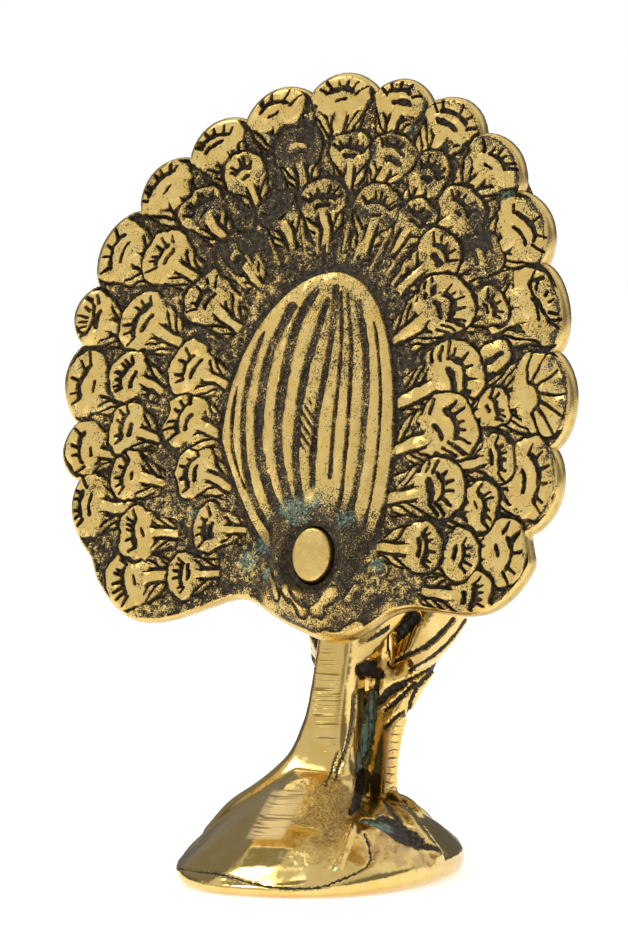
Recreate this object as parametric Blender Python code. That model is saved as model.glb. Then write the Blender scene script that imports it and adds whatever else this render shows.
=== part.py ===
"""Peacock figurine in solid brass: a spread tail fan fixed by a tenon to a bird standing on a mound.

The bird faces +Y and the back of its tail faces -Y. The origin is the middle of the underside.
All sizes are in millimetres and become metres when the meshes are made.
"""

import math

import bpy
import bmesh
import numpy as np
from mathutils import Euler

MM = 0.001

# Mound
BASE_HALF_WIDTH = 16.0
BASE_HALF_LENGTH = 21.4
BASE_MIDDLE_Y = 1.6
BASE_SQUARENESS = 2.3
BASE_RIM_Z = 2.4
BASE_UNDERCUT = 2.1
MOUND_TOP_Z = 9.0

# Support post behind the legs
POST_HALF_WIDTH = 2.6
POST_DEPTH = 4.6
POST_FOOT = (-0.8, 1.9, 13.0)
POST_HEAD_X = 0.7
POST_HEAD_Z = 30.0
POST_TOP_Z = 33.5
POST_SET_BACK = 0.7
RIB_HALF_WIDTH = 1.6
WEB_HALF_THICK = 0.7

# Legs and feet
BIRD_X = 0.5
LEG_SPREAD = 3.8
LEG_Y = 14.0
LEG_RADIUS = 1.35
THIGH_RADIUS = 3.6
LEG_SINK = 3.8
KNEE_Z = 18.5
HIP_DROP = 5.8
TOE_LENGTH = 6.4
TOE_RADIUS = 0.95

# Body, neck and head
BODY_HALF_WIDTH = 8.6
BODY_HALF_DEPTH = 9.4
NECK_RADIUS = 2.9
HEAD_RADIUS = 3.1
BEAK_LENGTH = 3.6
CREST_LENGTH = 7.0
CREST_PLUMES = 5
CREST_SPREAD_DEG = 64.0
PLUME_RADIUS = 0.55
WING_HALF_CHORD = 5.2
WING_HALF_THICK = 1.7

# Stations of the body and neck: forward and up from the hub, shares of half width and half depth
BODY_STATIONS = (
    (5.9, 0.4, 0.6, 0.64), (9.7, -0.6, 0.84, 0.88), (15.2, -1.2, 1.0, 1.0), (21.2, 0.8, 1.0, 0.96),
    (24.7, 6.7, 0.8, 0.76), (25.1, 12.7, 0.58, 0.52),
)
NECK_STATIONS = (
    (23.7, 19.2, 1.32, 1.3), (21.9, 26.2, 1.0, 1.0), (21.7, 32.2, 0.88, 0.9), (22.9, 36.7, 0.85, 0.9),
)
HEAD_PLACE = (23.5, 38.2)

# Stations of the wings: out from the middle, forward and up from the hub, shares of chord and thickness
WING_STATIONS = (
    (5.0, 9.5, -13.4, 0.34, 0.55), (6.6, 12.5, -10.2, 0.76, 0.95), (8.0, 16.5, -5.6, 1.0, 1.0),
    (8.4, 20.9, -0.4, 1.0, 1.0), (7.5, 24.1, 4.6, 0.74, 0.95), (5.8, 25.3, 8.4, 0.34, 0.7),
)

# Flare of the post into the mound: height as a share of the flare's own, and growth of the half sizes
FLARE_TOP_Z = 21.0
FLARE_STATIONS = (
    (0.14, 9.6, 9.0), (0.29, 7.6, 8.0), (0.43, 4.9, 5.6), (0.55, 2.9, 3.4), (0.67, 1.4, 1.6),
    (0.81, 0.6, 0.7), (1.0, 0.1, 0.2),
)

# Tail fan: its plane, thickness and outline
FAN_LEAN_DEG = 10.0
FAN_THICK = 3.3
HUB_POINT = (-0.7, 2.3, 38.8)
FAN_CENTRE = (-1.3, 22.8)
SCALLOP_DEPTH = 2.1
EYE_DEPTH = 1.0
SHIELD_TOP = 34.8
SHIELD_WAIST = 14.0
SHIELD_FOOT = -7.0
SHIELD_HALF_WIDTH = 11.1
SHIELD_MIDDLE = -2.5
SHIELD_APEX_SHIFT = 2.3
SHIELD_CROWN = 1.0
SHIELD_RIBS = 5
RIB_DEPTH = 0.65
BOSS_RISE = 3.0
BOSS_RADIUS = 7.0

# Tenon through the hub
TENON_HALF_WIDTH = 2.5
TENON_HALF_HEIGHT = 3.3
TENON_PROUD = 2.5
TENON_BEVEL = 0.4
TENON_CLEARANCE = 0.3
SEAT_CLEARANCE = 0.3
SHOULDER_RADIUS = 6.4

# Fineness of the solids
BIRD_VOXEL = 0.5
FAN_GRID = 104
BIRD_TRIANGLES = 3700
FAN_TRIANGLES = 5300

# Angle from the top and reach of the fan's outline, clockwise as seen from behind
OUTLINE = (
    (-172, 30.6), (-163, 28.7), (-154, 33.0), (-147, 38.0), (-141, 39.4), (-122, 37.4), (-98, 34.4),
    (-60, 34.1), (-28, 34.8), (0, 36.9), (30, 37.3), (52, 34.4), (74, 31.9), (97, 32.9), (118, 35.1),
    (135, 37.8), (143, 37.2), (151, 32.8), (158, 31.0), (172, 33.8),
)
SCALLOPS_FROM = -128.8
SCALLOP_WIDTHS = (14.4, 12.1, 17, 13.7, 19.2, 16.1, 14.9, 15.1, 14.4, 11.8, 13.1, 14.6, 16.7, 20.5,
                  21.6, 18.1)
CORNER_ANGLES = (-137.5, 138.0)

# Feather rows inside the outer one: eye count, first and last angle, inset from the outline, half width
FEATHER_ROWS = (
    (22, -147.0, 139.0, 8.6, 2.5),
    (17, -146.0, 146.0, 15.6, 2.5),
)
OUTER_EYE_INSET = 3.4
OUTER_EYE_SIZE = 3.0


def smoothstep(low, high, x):
    t = np.clip((x - low) / (high - low), 0.0, 1.0)
    return t * t * (3.0 - 2.0 * t)


def material(name, color, roughness):
    mat = bpy.data.materials.new(name)
    mat.use_nodes = True
    shader = mat.node_tree.nodes["Principled BSDF"]
    shader.inputs["Base Color"].default_value = (*color, 1.0)
    shader.inputs["Metallic"].default_value = 1.0
    shader.inputs["Roughness"].default_value = roughness
    return mat


def mesh_object(name, verts, faces):
    mesh = bpy.data.meshes.new(name)
    mesh.from_pydata([tuple(v) for v in verts], [], faces)
    obj = bpy.data.objects.new(name, mesh)
    bpy.context.scene.collection.objects.link(obj)
    return obj


def loft(sections):
    """Closed skin through rings of equal count, each an (n, 3) array, with both ends capped."""
    count = len(sections[0])
    verts = np.concatenate(sections)
    faces = []
    for ring in range(len(sections) - 1):
        for k in range(count):
            a = ring * count + k
            b = ring * count + (k + 1) % count
            faces.append((a, b, b + count, a + count))
    faces.append(tuple(reversed(range(count))))
    faces.append(tuple(range(len(verts) - count, len(verts))))
    return verts, faces


def oval_ring(centre, across, along, squareness=2.0, count=28):
    """Ring about centre spanned by two half-axis vectors, from round to squarish."""
    turn = np.linspace(0.0, 2.0 * math.pi, count, endpoint=False)
    c, s = np.cos(turn), np.sin(turn)
    power = 2.0 / squareness
    c = np.sign(c) * np.abs(c) ** power
    s = np.sign(s) * np.abs(s) ** power
    return np.array(centre) + np.outer(c, across) + np.outer(s, along)


def smooth_path(points, steps):
    """Catmull-Rom curve through rows of numbers, for a centre line and its radii together."""
    p = np.array(points, dtype=float)
    p = np.vstack([2 * p[0] - p[1], p, 2 * p[-1] - p[-2]])
    rows = []
    for i in range(1, len(p) - 2):
        for t in np.linspace(0.0, 1.0, steps, endpoint=False):
            rows.append(0.5 * (2 * p[i] + (p[i + 1] - p[i - 1]) * t
                               + (2 * p[i - 1] - 5 * p[i] + 4 * p[i + 1] - p[i + 2]) * t ** 2
                               + (3 * p[i] - p[i - 1] - 3 * p[i + 1] + p[i + 2]) * t ** 3))
    rows.append(p[-2])
    return np.array(rows)


def limb(stations, steps=5, squareness=2.0, side=(1.0, 0.0, 0.0)):
    """Tube through stations of x, y, z, half width and half depth, its width kept along side."""
    path = smooth_path(stations, steps)
    centre = path[:, :3]
    tangent = np.gradient(centre, axis=0)
    rings = []
    for c, t, size in zip(centre, tangent, path[:, 3:]):
        t = t / np.linalg.norm(t)
        across = np.array(side) - np.dot(side, t) * t
        across /= np.linalg.norm(across)
        deep = np.cross(t, across)
        rings.append(oval_ring(c, across * size[0], deep * size[1], squareness))
    return loft(rings)


def ball(centre, radii, tilt=(0.0, 0.0, 0.0)):
    """Ellipsoid by its centre, half sizes and a turn about X, Y and Z in degrees."""
    turn = np.array(Euler([math.radians(a) for a in tilt]).to_matrix())
    rings = []
    for lat in np.linspace(-82.0, 82.0, 13):
        z = math.sin(math.radians(lat))
        r = math.cos(math.radians(lat))
        ring = oval_ring((0.0, 0.0, z), (r, 0.0, 0.0), (0.0, r, 0.0), count=20)
        rings.append((ring * np.array(radii)) @ turn.T + np.array(centre))
    return loft(rings)


# Mound: height of its skin against the share of the outline reached, from rim to crown
MOUND_PROFILE = (
    (1.0, BASE_RIM_Z), (0.985, BASE_RIM_Z + 1.0), (0.9, 0.55 * MOUND_TOP_Z), (0.755, 0.76 * MOUND_TOP_Z),
    (0.58, 0.92 * MOUND_TOP_Z), (0.35, MOUND_TOP_Z), (0.1, MOUND_TOP_Z),
)


def mound_height(x, y):
    share = (abs(x / BASE_HALF_WIDTH) ** BASE_SQUARENESS
             + abs((y - BASE_MIDDLE_Y) / BASE_HALF_LENGTH) ** BASE_SQUARENESS) ** (1.0 / BASE_SQUARENESS)
    shares = [p[0] for p in reversed(MOUND_PROFILE)]
    heights = [p[1] for p in reversed(MOUND_PROFILE)]
    return float(np.interp(share, shares, heights))


def mound():
    def ring(share, z, inset=0.0):
        across = (share * BASE_HALF_WIDTH - inset, 0.0, 0.0)
        along = (0.0, share * BASE_HALF_LENGTH - inset, 0.0)
        return oval_ring((0.0, BASE_MIDDLE_Y, z), across, along, BASE_SQUARENESS, 48)
    rings = [ring(1.0, -0.4 * BASE_RIM_Z, BASE_UNDERCUT), ring(1.0, 0.0, BASE_UNDERCUT),
             ring(1.0, 0.3 * BASE_RIM_Z, 0.2 * BASE_UNDERCUT)]
    rings += [ring(share, z) for share, z in MOUND_PROFILE]
    return loft(rings)


def fan_point(u, v, h):
    """World place of a point in the fan's own frame: across, up the fan, and out of its back."""
    lean = math.radians(FAN_LEAN_DEG)
    x0, y0, z0 = HUB_POINT
    x = x0 + u
    y = y0 + v * math.sin(lean) - h * math.cos(lean)
    z = z0 + v * math.cos(lean) + h * math.sin(lean)
    return np.stack(np.broadcast_arrays(x, y, z), axis=-1)


def post_back(z):
    """Middle of the post's flat back at height z: it runs up just in front of the fan."""
    lean = math.radians(FAN_LEAN_DEG)
    front_y = HUB_POINT[1] + (POST_HEAD_Z - HUB_POINT[2]) * math.tan(lean) + FAN_THICK / math.cos(lean)
    foot = np.array(POST_FOOT)
    head = np.array((POST_HEAD_X, front_y + POST_SET_BACK, POST_HEAD_Z))
    return foot + (head - foot) * (z - foot[2]) / (head[2] - foot[2])


def post():
    """Flat-backed post that flares into the mound."""
    stations = []
    for share, widen, deepen in (*FLARE_STATIONS, (POST_TOP_Z / FLARE_TOP_Z, 0.0, 0.0)):
        x, y, z = post_back(share * FLARE_TOP_Z)
        half_depth = 0.5 * (POST_DEPTH + deepen)
        stations.append((x - 0.12 * widen, y - 0.55 * deepen + half_depth, z,
                         POST_HALF_WIDTH + widen, half_depth))
    return limb(stations, steps=3, squareness=3.4)


def webs():
    """Casting webs: a rib on the post's front, a thin wall on to the legs and one between the legs."""
    rib, wall, between = [], [], []
    for share in (0.1, 0.35, 0.6, 0.8, 1.0):
        z = share * (HUB_POINT[2] - HIP_DROP)
        rear = post_back(z)[1] + 0.3 * POST_DEPTH
        middle = 0.45 * rear + 0.55 * LEG_Y
        rib.append((BIRD_X, 0.5 * (rear + middle), z, RIB_HALF_WIDTH, 0.5 * (middle - rear)))
        wall.append((BIRD_X, 0.5 * (rear + LEG_Y), z, WEB_HALF_THICK, 0.5 * (LEG_Y - rear)))
        between.append((BIRD_X, LEG_Y, z, LEG_SPREAD, WEB_HALF_THICK))
    return [limb(stations, steps=2, squareness=3.0) for stations in (rib, wall, between)]


def leg(side):
    """One leg from inside the mound to inside the body, with the thigh's swell."""
    x = BIRD_X + side * LEG_SPREAD
    r, thigh = LEG_RADIUS, THIGH_RADIUS
    ankle = mound_height(x, LEG_Y) + 0.5 * r
    hip = HUB_POINT[2] - HIP_DROP
    stations = [
        (x, LEG_Y, ankle - LEG_SINK, r, r), (x, LEG_Y, ankle, 1.1 * r, 1.1 * r),
        (x, LEG_Y + 0.1, 0.5 * (ankle + KNEE_Z), 0.95 * r, r),
        (x + 0.2 * side, LEG_Y + 0.8, KNEE_Z, 1.15 * r, 1.2 * r),
        (x + 0.8 * side, LEG_Y + 2.4, KNEE_Z + 3.8, 1.7 * r, 1.9 * r),
        (x + 1.5 * side, LEG_Y + 4.6, KNEE_Z + 8.2, 0.9 * thigh, thigh),
        (x + 1.0 * side, LEG_Y + 6.0, hip + 1.0, thigh, 1.2 * thigh),
    ]
    return limb(stations, steps=4)


def toe(side, heading_deg, length):
    """One toe lying on the mound, heading measured from +Y towards the outer side."""
    x0 = BIRD_X + side * LEG_SPREAD
    stations = []
    for share, swell in ((0.0, 1.0), (0.3, 1.0), (0.65, 0.85), (1.0, 0.45)):
        x = x0 + side * math.sin(math.radians(heading_deg)) * length * share
        y = LEG_Y + math.cos(math.radians(heading_deg)) * length * share
        z = mound_height(x, y) + 0.35 * TOE_RADIUS
        stations.append((x, y, z, swell * TOE_RADIUS, swell * TOE_RADIUS))
    return limb(stations, steps=3, side=(math.cos(math.radians(heading_deg)), -side
                                         * math.sin(math.radians(heading_deg)), 0.0))


def body_and_neck():
    """Body and neck in one skin, from its seat against the tail to the throat."""
    stations = []
    for rows, width, depth in ((BODY_STATIONS, BODY_HALF_WIDTH, BODY_HALF_DEPTH),
                               (NECK_STATIONS, NECK_RADIUS, NECK_RADIUS)):
        for forward, up, wide, deep in rows:
            stations.append((BIRD_X, HUB_POINT[1] + forward, HUB_POINT[2] + up, wide * width, deep * depth))
    return limb(stations, steps=4)


def wing(side):
    """Folded wing along the flank, its tip drooping back beside the post."""
    stations = []
    for out, forward, up, chord, thick in WING_STATIONS:
        stations.append((BIRD_X + side * out, HUB_POINT[1] + forward, HUB_POINT[2] + up,
                         chord * WING_HALF_CHORD, thick * WING_HALF_THICK))
    return limb(stations, steps=4, side=(0.0, -0.63, 0.77))


def head():
    """Head with its beak, eyes and a crest of small plumes."""
    r = HEAD_RADIUS
    y = HUB_POINT[1] + HEAD_PLACE[0]
    z = HUB_POINT[2] + HEAD_PLACE[1]
    brow = y + 1.1 * r
    parts = [ball((BIRD_X, y, z), (0.85 * r, 1.15 * r, 0.95 * r), tilt=(-8.0, 0.0, 0.0))]
    parts.append(limb([
        (BIRD_X, y + 0.4 * r, z, 0.62 * r, 0.55 * r), (BIRD_X, brow, z - 0.1 * r, 0.36 * r, 0.34 * r),
        (BIRD_X, brow + 0.5 * BEAK_LENGTH, z - 0.3 * r, 0.24 * r, 0.24 * r),
        (BIRD_X, brow + BEAK_LENGTH, z - 0.6 * r, 0.12 * r, 0.14 * r),
    ], steps=3))
    for side in (-1, 1):
        parts.append(ball((BIRD_X + side * 0.74 * r, y + 0.45 * r, z + 0.2 * r),
                          (0.16 * r, 0.2 * r, 0.2 * r)))
    for k in range(CREST_PLUMES):
        lean = math.radians(CREST_SPREAD_DEG * (k / max(1, CREST_PLUMES - 1) - 0.5))
        top = (BIRD_X + math.sin(lean) * CREST_LENGTH, y - 0.7 * r,
               z + 0.8 * r + math.cos(lean) * CREST_LENGTH)
        quill = (PLUME_RADIUS, PLUME_RADIUS)
        parts.append(limb([(BIRD_X, y - 0.13 * r, z + 0.6 * r, *quill), (*top, *quill)], steps=4))
        parts.append(ball(top, (1.8 * PLUME_RADIUS, 1.4 * PLUME_RADIUS, 2.1 * PLUME_RADIUS)))
    return parts


def hub_oval(half_width, half_height, h, count=32):
    turn = np.linspace(0.0, 2.0 * math.pi, count, endpoint=False)
    return fan_point(half_width * np.cos(turn), half_height * np.sin(turn), h)


def tenon_and_shoulder():
    """Flat shoulder behind the fan with the oval tenon that passes through the hub."""
    seat = -FAN_THICK - SEAT_CLEARANCE
    shoulder = (SHOULDER_RADIUS, SHOULDER_RADIUS)
    tenon = (TENON_HALF_WIDTH, TENON_HALF_HEIGHT)
    return loft([
        hub_oval(0.7 * SHOULDER_RADIUS, 0.7 * SHOULDER_RADIUS, seat - SHOULDER_RADIUS),
        hub_oval(*shoulder, seat - 0.25 * SHOULDER_RADIUS), hub_oval(*shoulder, seat),
        hub_oval(*tenon, seat), hub_oval(*tenon, TENON_PROUD - TENON_BEVEL),
        hub_oval(TENON_HALF_WIDTH - TENON_BEVEL, TENON_HALF_HEIGHT - TENON_BEVEL, TENON_PROUD),
    ])


def outline_radius(angle):
    """Reach of the fan's rim from its middle, with a scallop for each outer feather."""
    knots = np.array(sorted(OUTLINE), dtype=float)
    plain = np.zeros_like(angle)
    for shift in np.linspace(-4.0, 4.0, 7):
        plain += np.interp(angle + shift, knots[:, 0], knots[:, 1], period=360.0) / 7.0
    valleys = SCALLOPS_FROM + np.concatenate([[0.0], np.cumsum(SCALLOP_WIDTHS)])
    phase = np.interp(angle, valleys, np.arange(len(valleys)))
    lobe = np.abs(np.sin(math.pi * phase)) ** 0.7
    inside = (angle > valleys[0]) & (angle < valleys[-1])
    return plain - np.where(inside, SCALLOP_DEPTH * (1.0 - lobe), 0.0)


def feather_eyes():
    """Place, heading and half width of every feather eye, outer row first."""
    eyes = []
    valleys = SCALLOPS_FROM + np.concatenate([[0.0], np.cumsum(SCALLOP_WIDTHS)])
    middles = [0.5 * (a + b) for a, b in zip(valleys, valleys[1:])] + list(CORNER_ANGLES)
    spots = [(angle, OUTER_EYE_INSET, OUTER_EYE_SIZE) for angle in middles]
    for count, first, last, inset, size in FEATHER_ROWS:
        spots += [(a, inset, size) for a in np.linspace(first, last, count)]
    for angle, inset, size in spots:
        reach = outline_radius(np.array([angle]))[0] - inset
        if inset > OUTER_EYE_INSET:
            reach += 0.5 * SCALLOP_DEPTH
        u = FAN_CENTRE[0] + math.sin(math.radians(angle)) * reach
        v = FAN_CENTRE[1] + math.cos(math.radians(angle)) * reach
        root_v = min(max(0.6 * v, -2.0), 0.7 * SHIELD_TOP)
        heading = math.atan2(u - FAN_CENTRE[0], v - root_v)
        eyes.append((u, v, heading, size))
    return eyes


def shield_field(u, v):
    """Share of the shield's half width at each point, and the distance measure of its oval."""
    upper = (v - SHIELD_WAIST) / (SHIELD_TOP - SHIELD_WAIST)
    lower = (SHIELD_WAIST - v) / (SHIELD_WAIST - SHIELD_FOOT)
    rise = np.maximum(upper, lower)
    middle = SHIELD_MIDDLE + SHIELD_APEX_SHIFT * np.clip(upper, 0.0, 1.2) ** 2
    across = (u - middle) / SHIELD_HALF_WIDTH
    measure = np.hypot(across, rise)
    room = np.sqrt(1.0 - np.minimum(rise, 0.97) ** 2)
    return across / room, measure


def back_relief(u, v, depth):
    """Height of the fan's carved back over its buffed plane."""
    h = np.full_like(u, -depth)
    for eu, ev, heading, size in feather_eyes():
        du, dv = u - eu, v - ev
        out = du * math.sin(heading) + dv * math.cos(heading)
        side = du * math.cos(heading) - dv * math.sin(heading)
        lobe = np.hypot(side, np.where(out > 0.0, out, 0.85 * out)) / size
        top = -depth * smoothstep(0.86, 1.1, lobe)
        stem = np.where((out < 0.0) & (out > -2.9 * size), np.abs(side), 9.0)
        top = np.maximum(top, -depth * (0.5 + 0.5 * smoothstep(0.3, 0.9, stem)))
        h = np.maximum(h, top)
    share, measure = shield_field(u, v)
    ribs = 0.5 - 0.5 * np.cos(2.0 * math.pi * SHIELD_RIBS * share)
    crown = SHIELD_CROWN * np.clip(1.0 - measure ** 2, 0.0, 1.0)
    groove = RIB_DEPTH * (1.0 - smoothstep(0.1, 0.6, ribs)) * smoothstep(-1.0, 5.0, v)
    shield = crown - np.where(np.abs(share) < 0.9, groove, 0.0)
    inside = 1.0 - smoothstep(0.98, 1.06, measure)
    h = h * (1.0 - inside) + shield * inside
    hub = np.hypot(u + 0.2, 0.9 * (v + 1.5)) / BOSS_RADIUS
    return h + (BOSS_RISE + 0.5 * depth) * (1.0 - smoothstep(0.35, 1.25, hub))


def tail_fan():
    """Carved plate between its back and front skins, on one square grid spread over the outline."""
    n = FAN_GRID
    line = np.linspace(-1.0, 1.0, n + 1)
    a, b = np.meshgrid(line, line, indexing="ij")
    x = a * np.sqrt(1.0 - 0.5 * b ** 2)
    y = b * np.sqrt(1.0 - 0.5 * a ** 2)
    share = np.hypot(x, y)
    angle = np.degrees(np.arctan2(x, y))
    reach = outline_radius(angle)
    u = FAN_CENTRE[0] + reach * x
    v = FAN_CENTRE[1] + reach * y
    edge = np.clip((1.0 - share) * reach / 0.5, 0.0, 1.0)
    back = back_relief(u, v, EYE_DEPTH) * edge - 0.25 * (1.0 - edge)
    front = -FAN_THICK - 0.4 * back_relief(u, v, EYE_DEPTH).clip(-EYE_DEPTH, 0.0) * edge
    verts = np.concatenate([fan_point(u, v, back).reshape(-1, 3), fan_point(u, v, front).reshape(-1, 3)])
    layer = (n + 1) ** 2

    def index(i, j):
        return i * (n + 1) + j

    faces = []
    for i in range(n):
        for j in range(n):
            quad = (index(i, j), index(i + 1, j), index(i + 1, j + 1), index(i, j + 1))
            faces.append(quad)
            faces.append(tuple(layer + q for q in reversed(quad)))
    rim = ([index(i, 0) for i in range(n)] + [index(n, j) for j in range(n)]
           + [index(i, n) for i in range(n, 0, -1)] + [index(0, j) for j in range(n, 0, -1)])
    for p, q in zip(rim, rim[1:] + rim[:1]):
        faces.append((q, p, p + layer, q + layer))
    return verts, faces


def join(name, shapes):
    verts, faces = [], []
    for shape_verts, shape_faces in shapes:
        faces += [tuple(i + len(verts) for i in face) for face in shape_faces]
        verts += [tuple(np.array(v) * MM) for v in shape_verts]
    obj = mesh_object(name, verts, faces)
    bm = bmesh.new()
    bm.from_mesh(obj.data)
    bmesh.ops.recalc_face_normals(bm, faces=bm.faces)
    bm.to_mesh(obj.data)
    bm.free()
    return obj


def settle(obj):
    """Replaces the object's mesh by what its modifiers make of it."""
    depsgraph = bpy.context.evaluated_depsgraph_get()
    made = bpy.data.meshes.new_from_object(obj.evaluated_get(depsgraph))
    obj.modifiers.clear()
    obj.data = made


def thin_out(obj, triangles):
    """Collapses small faces until about this many triangles are left."""
    obj.data.calc_loop_triangles()
    now = len(obj.data.loop_triangles)
    if now > triangles:
        thin = obj.modifiers.new("thin", "DECIMATE")
        thin.ratio = triangles / now
        thin.use_collapse_triangulate = True
        settle(obj)


def boolean(obj, other, operation):
    other.hide_render = True
    other.display_type = "WIRE"
    mod = obj.modifiers.new(operation.lower(), "BOOLEAN")
    mod.operation = operation
    mod.object = other
    settle(obj)
    bpy.data.objects.remove(other, do_unlink=True)


def cut_flat(obj, z):
    """Trims the object level at height z and closes the cut with one flat face."""
    bm = bmesh.new()
    bm.from_mesh(obj.data)
    everything = bm.verts[:] + bm.edges[:] + bm.faces[:]
    cut = bmesh.ops.bisect_plane(bm, geom=everything, dist=1e-7, plane_co=(0.0, 0.0, z),
                                 plane_no=(0.0, 0.0, -1.0), clear_outer=True)
    edges = [e for e in cut["geom_cut"] if isinstance(e, bmesh.types.BMEdge)]
    bmesh.ops.contextual_create(bm, geom=edges)
    bmesh.ops.recalc_face_normals(bm, faces=bm.faces)
    bm.to_mesh(obj.data)
    bm.free()


def build_bird(brass):
    shapes = [mound(), post(), *webs(), body_and_neck()]
    for side in (-1, 1):
        shapes += [leg(side), wing(side)]
        shapes += [toe(side, heading, TOE_LENGTH) for heading in (-28.0, 4.0, 38.0)]
        shapes.append(toe(side, 137.0, 1.5 * TOE_LENGTH))
    shapes += head()
    bird = join("peacock_on_base", shapes)
    skin = bird.modifiers.new("skin", "REMESH")
    skin.mode = "VOXEL"
    skin.voxel_size = BIRD_VOXEL * MM
    soften = bird.modifiers.new("soften", "SMOOTH")
    soften.factor = 0.5
    soften.iterations = 3
    settle(bird)
    thin_out(bird, BIRD_TRIANGLES)
    boolean(bird, join("tenon", [tenon_and_shoulder()]), "UNION")
    cut_flat(bird, 0.0)
    finish(bird, brass)


def build_fan(brass):
    fan = join("tail_fan", [tail_fan()])
    thin_out(fan, FAN_TRIANGLES)
    hole = [hub_oval(TENON_HALF_WIDTH + TENON_CLEARANCE, TENON_HALF_HEIGHT + TENON_CLEARANCE, h)
            for h in (-3.0 * FAN_THICK, 3.0 * FAN_THICK)]
    boolean(fan, join("hole", [loft(hole)]), "DIFFERENCE")
    finish(fan, brass)


def finish(obj, mat):
    bm = bmesh.new()
    bm.from_mesh(obj.data)
    bmesh.ops.triangulate(bm, faces=bm.faces)
    bm.to_mesh(obj.data)
    bm.free()
    obj.data.materials.clear()
    obj.data.materials.append(mat)
    obj.data.shade_smooth()
    obj.data.set_sharp_from_angle(angle=math.radians(40.0))


def main():
    for obj in list(bpy.data.objects):
        bpy.data.objects.remove(obj, do_unlink=True)
    build_bird(material("polished_brass", (0.62, 0.42, 0.14), 0.22))
    build_fan(material("patinated_brass", (0.5, 0.36, 0.14), 0.35))


main()
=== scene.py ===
"""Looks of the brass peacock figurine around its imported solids: fine casting, buffed brass, old patina.

Lengths are in millimetres and become metres when the meshes are made. The bird faces +Y.
"""

import math

import bpy
import bmesh
import numpy as np
from mathutils import Euler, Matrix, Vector


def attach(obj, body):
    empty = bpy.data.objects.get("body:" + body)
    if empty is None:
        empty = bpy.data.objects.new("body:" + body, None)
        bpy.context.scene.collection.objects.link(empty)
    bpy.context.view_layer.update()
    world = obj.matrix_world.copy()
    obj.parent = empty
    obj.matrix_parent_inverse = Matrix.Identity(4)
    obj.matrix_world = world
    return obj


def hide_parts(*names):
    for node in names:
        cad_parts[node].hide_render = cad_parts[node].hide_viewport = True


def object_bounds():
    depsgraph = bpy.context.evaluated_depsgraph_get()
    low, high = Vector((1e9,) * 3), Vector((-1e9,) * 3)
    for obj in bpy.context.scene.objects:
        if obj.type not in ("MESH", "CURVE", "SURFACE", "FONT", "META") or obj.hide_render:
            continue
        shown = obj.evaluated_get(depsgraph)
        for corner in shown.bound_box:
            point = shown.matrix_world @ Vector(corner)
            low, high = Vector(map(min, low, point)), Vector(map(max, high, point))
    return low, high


MM = 0.001

# Camera that took the photo: its turn, height angle, distance and what it looks at
IMAGE_SIZE = (628, 928)
CAMERA_AZIMUTH = 22.0
CAMERA_ELEVATION = 3.0
CAMERA_DISTANCE = 700.0
CAMERA_TARGET = (-2.7, 6.0, 49.8)
PIXELS_PER_MM = 8.25
SENSOR = 36.0

# The solid's sizes, repeated from the part
BASE_HALF_WIDTH = 16.0
BASE_HALF_LENGTH = 21.4
BASE_MIDDLE_Y = 1.6
BASE_SQUARENESS = 2.3
BASE_RIM_Z = 2.4
BASE_UNDERCUT = 2.1
MOUND_TOP_Z = 9.0
POST_HALF_WIDTH = 2.6
POST_DEPTH = 4.6
POST_FOOT = (-0.8, 1.9, 13.0)
POST_HEAD_X = 0.7
POST_HEAD_Z = 30.0
POST_TOP_Z = 33.5
POST_SET_BACK = 0.7
RIB_HALF_WIDTH = 1.6
WEB_HALF_THICK = 0.7
BIRD_X = 0.5
LEG_SPREAD = 3.8
LEG_Y = 14.0
LEG_RADIUS = 1.35
THIGH_RADIUS = 3.6
LEG_SINK = 3.8
KNEE_Z = 18.5
HIP_DROP = 5.8
TOE_LENGTH = 6.4
TOE_RADIUS = 0.95
BODY_HALF_WIDTH = 8.6
BODY_HALF_DEPTH = 9.4
NECK_RADIUS = 2.9
HEAD_RADIUS = 3.1
BEAK_LENGTH = 3.6
CREST_LENGTH = 7.0
CREST_PLUMES = 5
CREST_SPREAD_DEG = 64.0
PLUME_RADIUS = 0.55
WING_HALF_CHORD = 5.2
WING_HALF_THICK = 1.7
BODY_STATIONS = (
    (5.9, 0.4, 0.6, 0.64), (9.7, -0.6, 0.84, 0.88), (15.2, -1.2, 1.0, 1.0), (21.2, 0.8, 1.0, 0.96),
    (24.7, 6.7, 0.8, 0.76), (25.1, 12.7, 0.58, 0.52),
)
NECK_STATIONS = (
    (23.7, 19.2, 1.32, 1.3), (21.9, 26.2, 1.0, 1.0), (21.7, 32.2, 0.88, 0.9), (22.9, 36.7, 0.85, 0.9),
)
HEAD_PLACE = (23.5, 38.2)
WING_STATIONS = (
    (5.0, 9.5, -13.4, 0.34, 0.55), (6.6, 12.5, -10.2, 0.76, 0.95), (8.0, 16.5, -5.6, 1.0, 1.0),
    (8.4, 20.9, -0.4, 1.0, 1.0), (7.5, 24.1, 4.6, 0.74, 0.95), (5.8, 25.3, 8.4, 0.34, 0.7),
)

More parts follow.
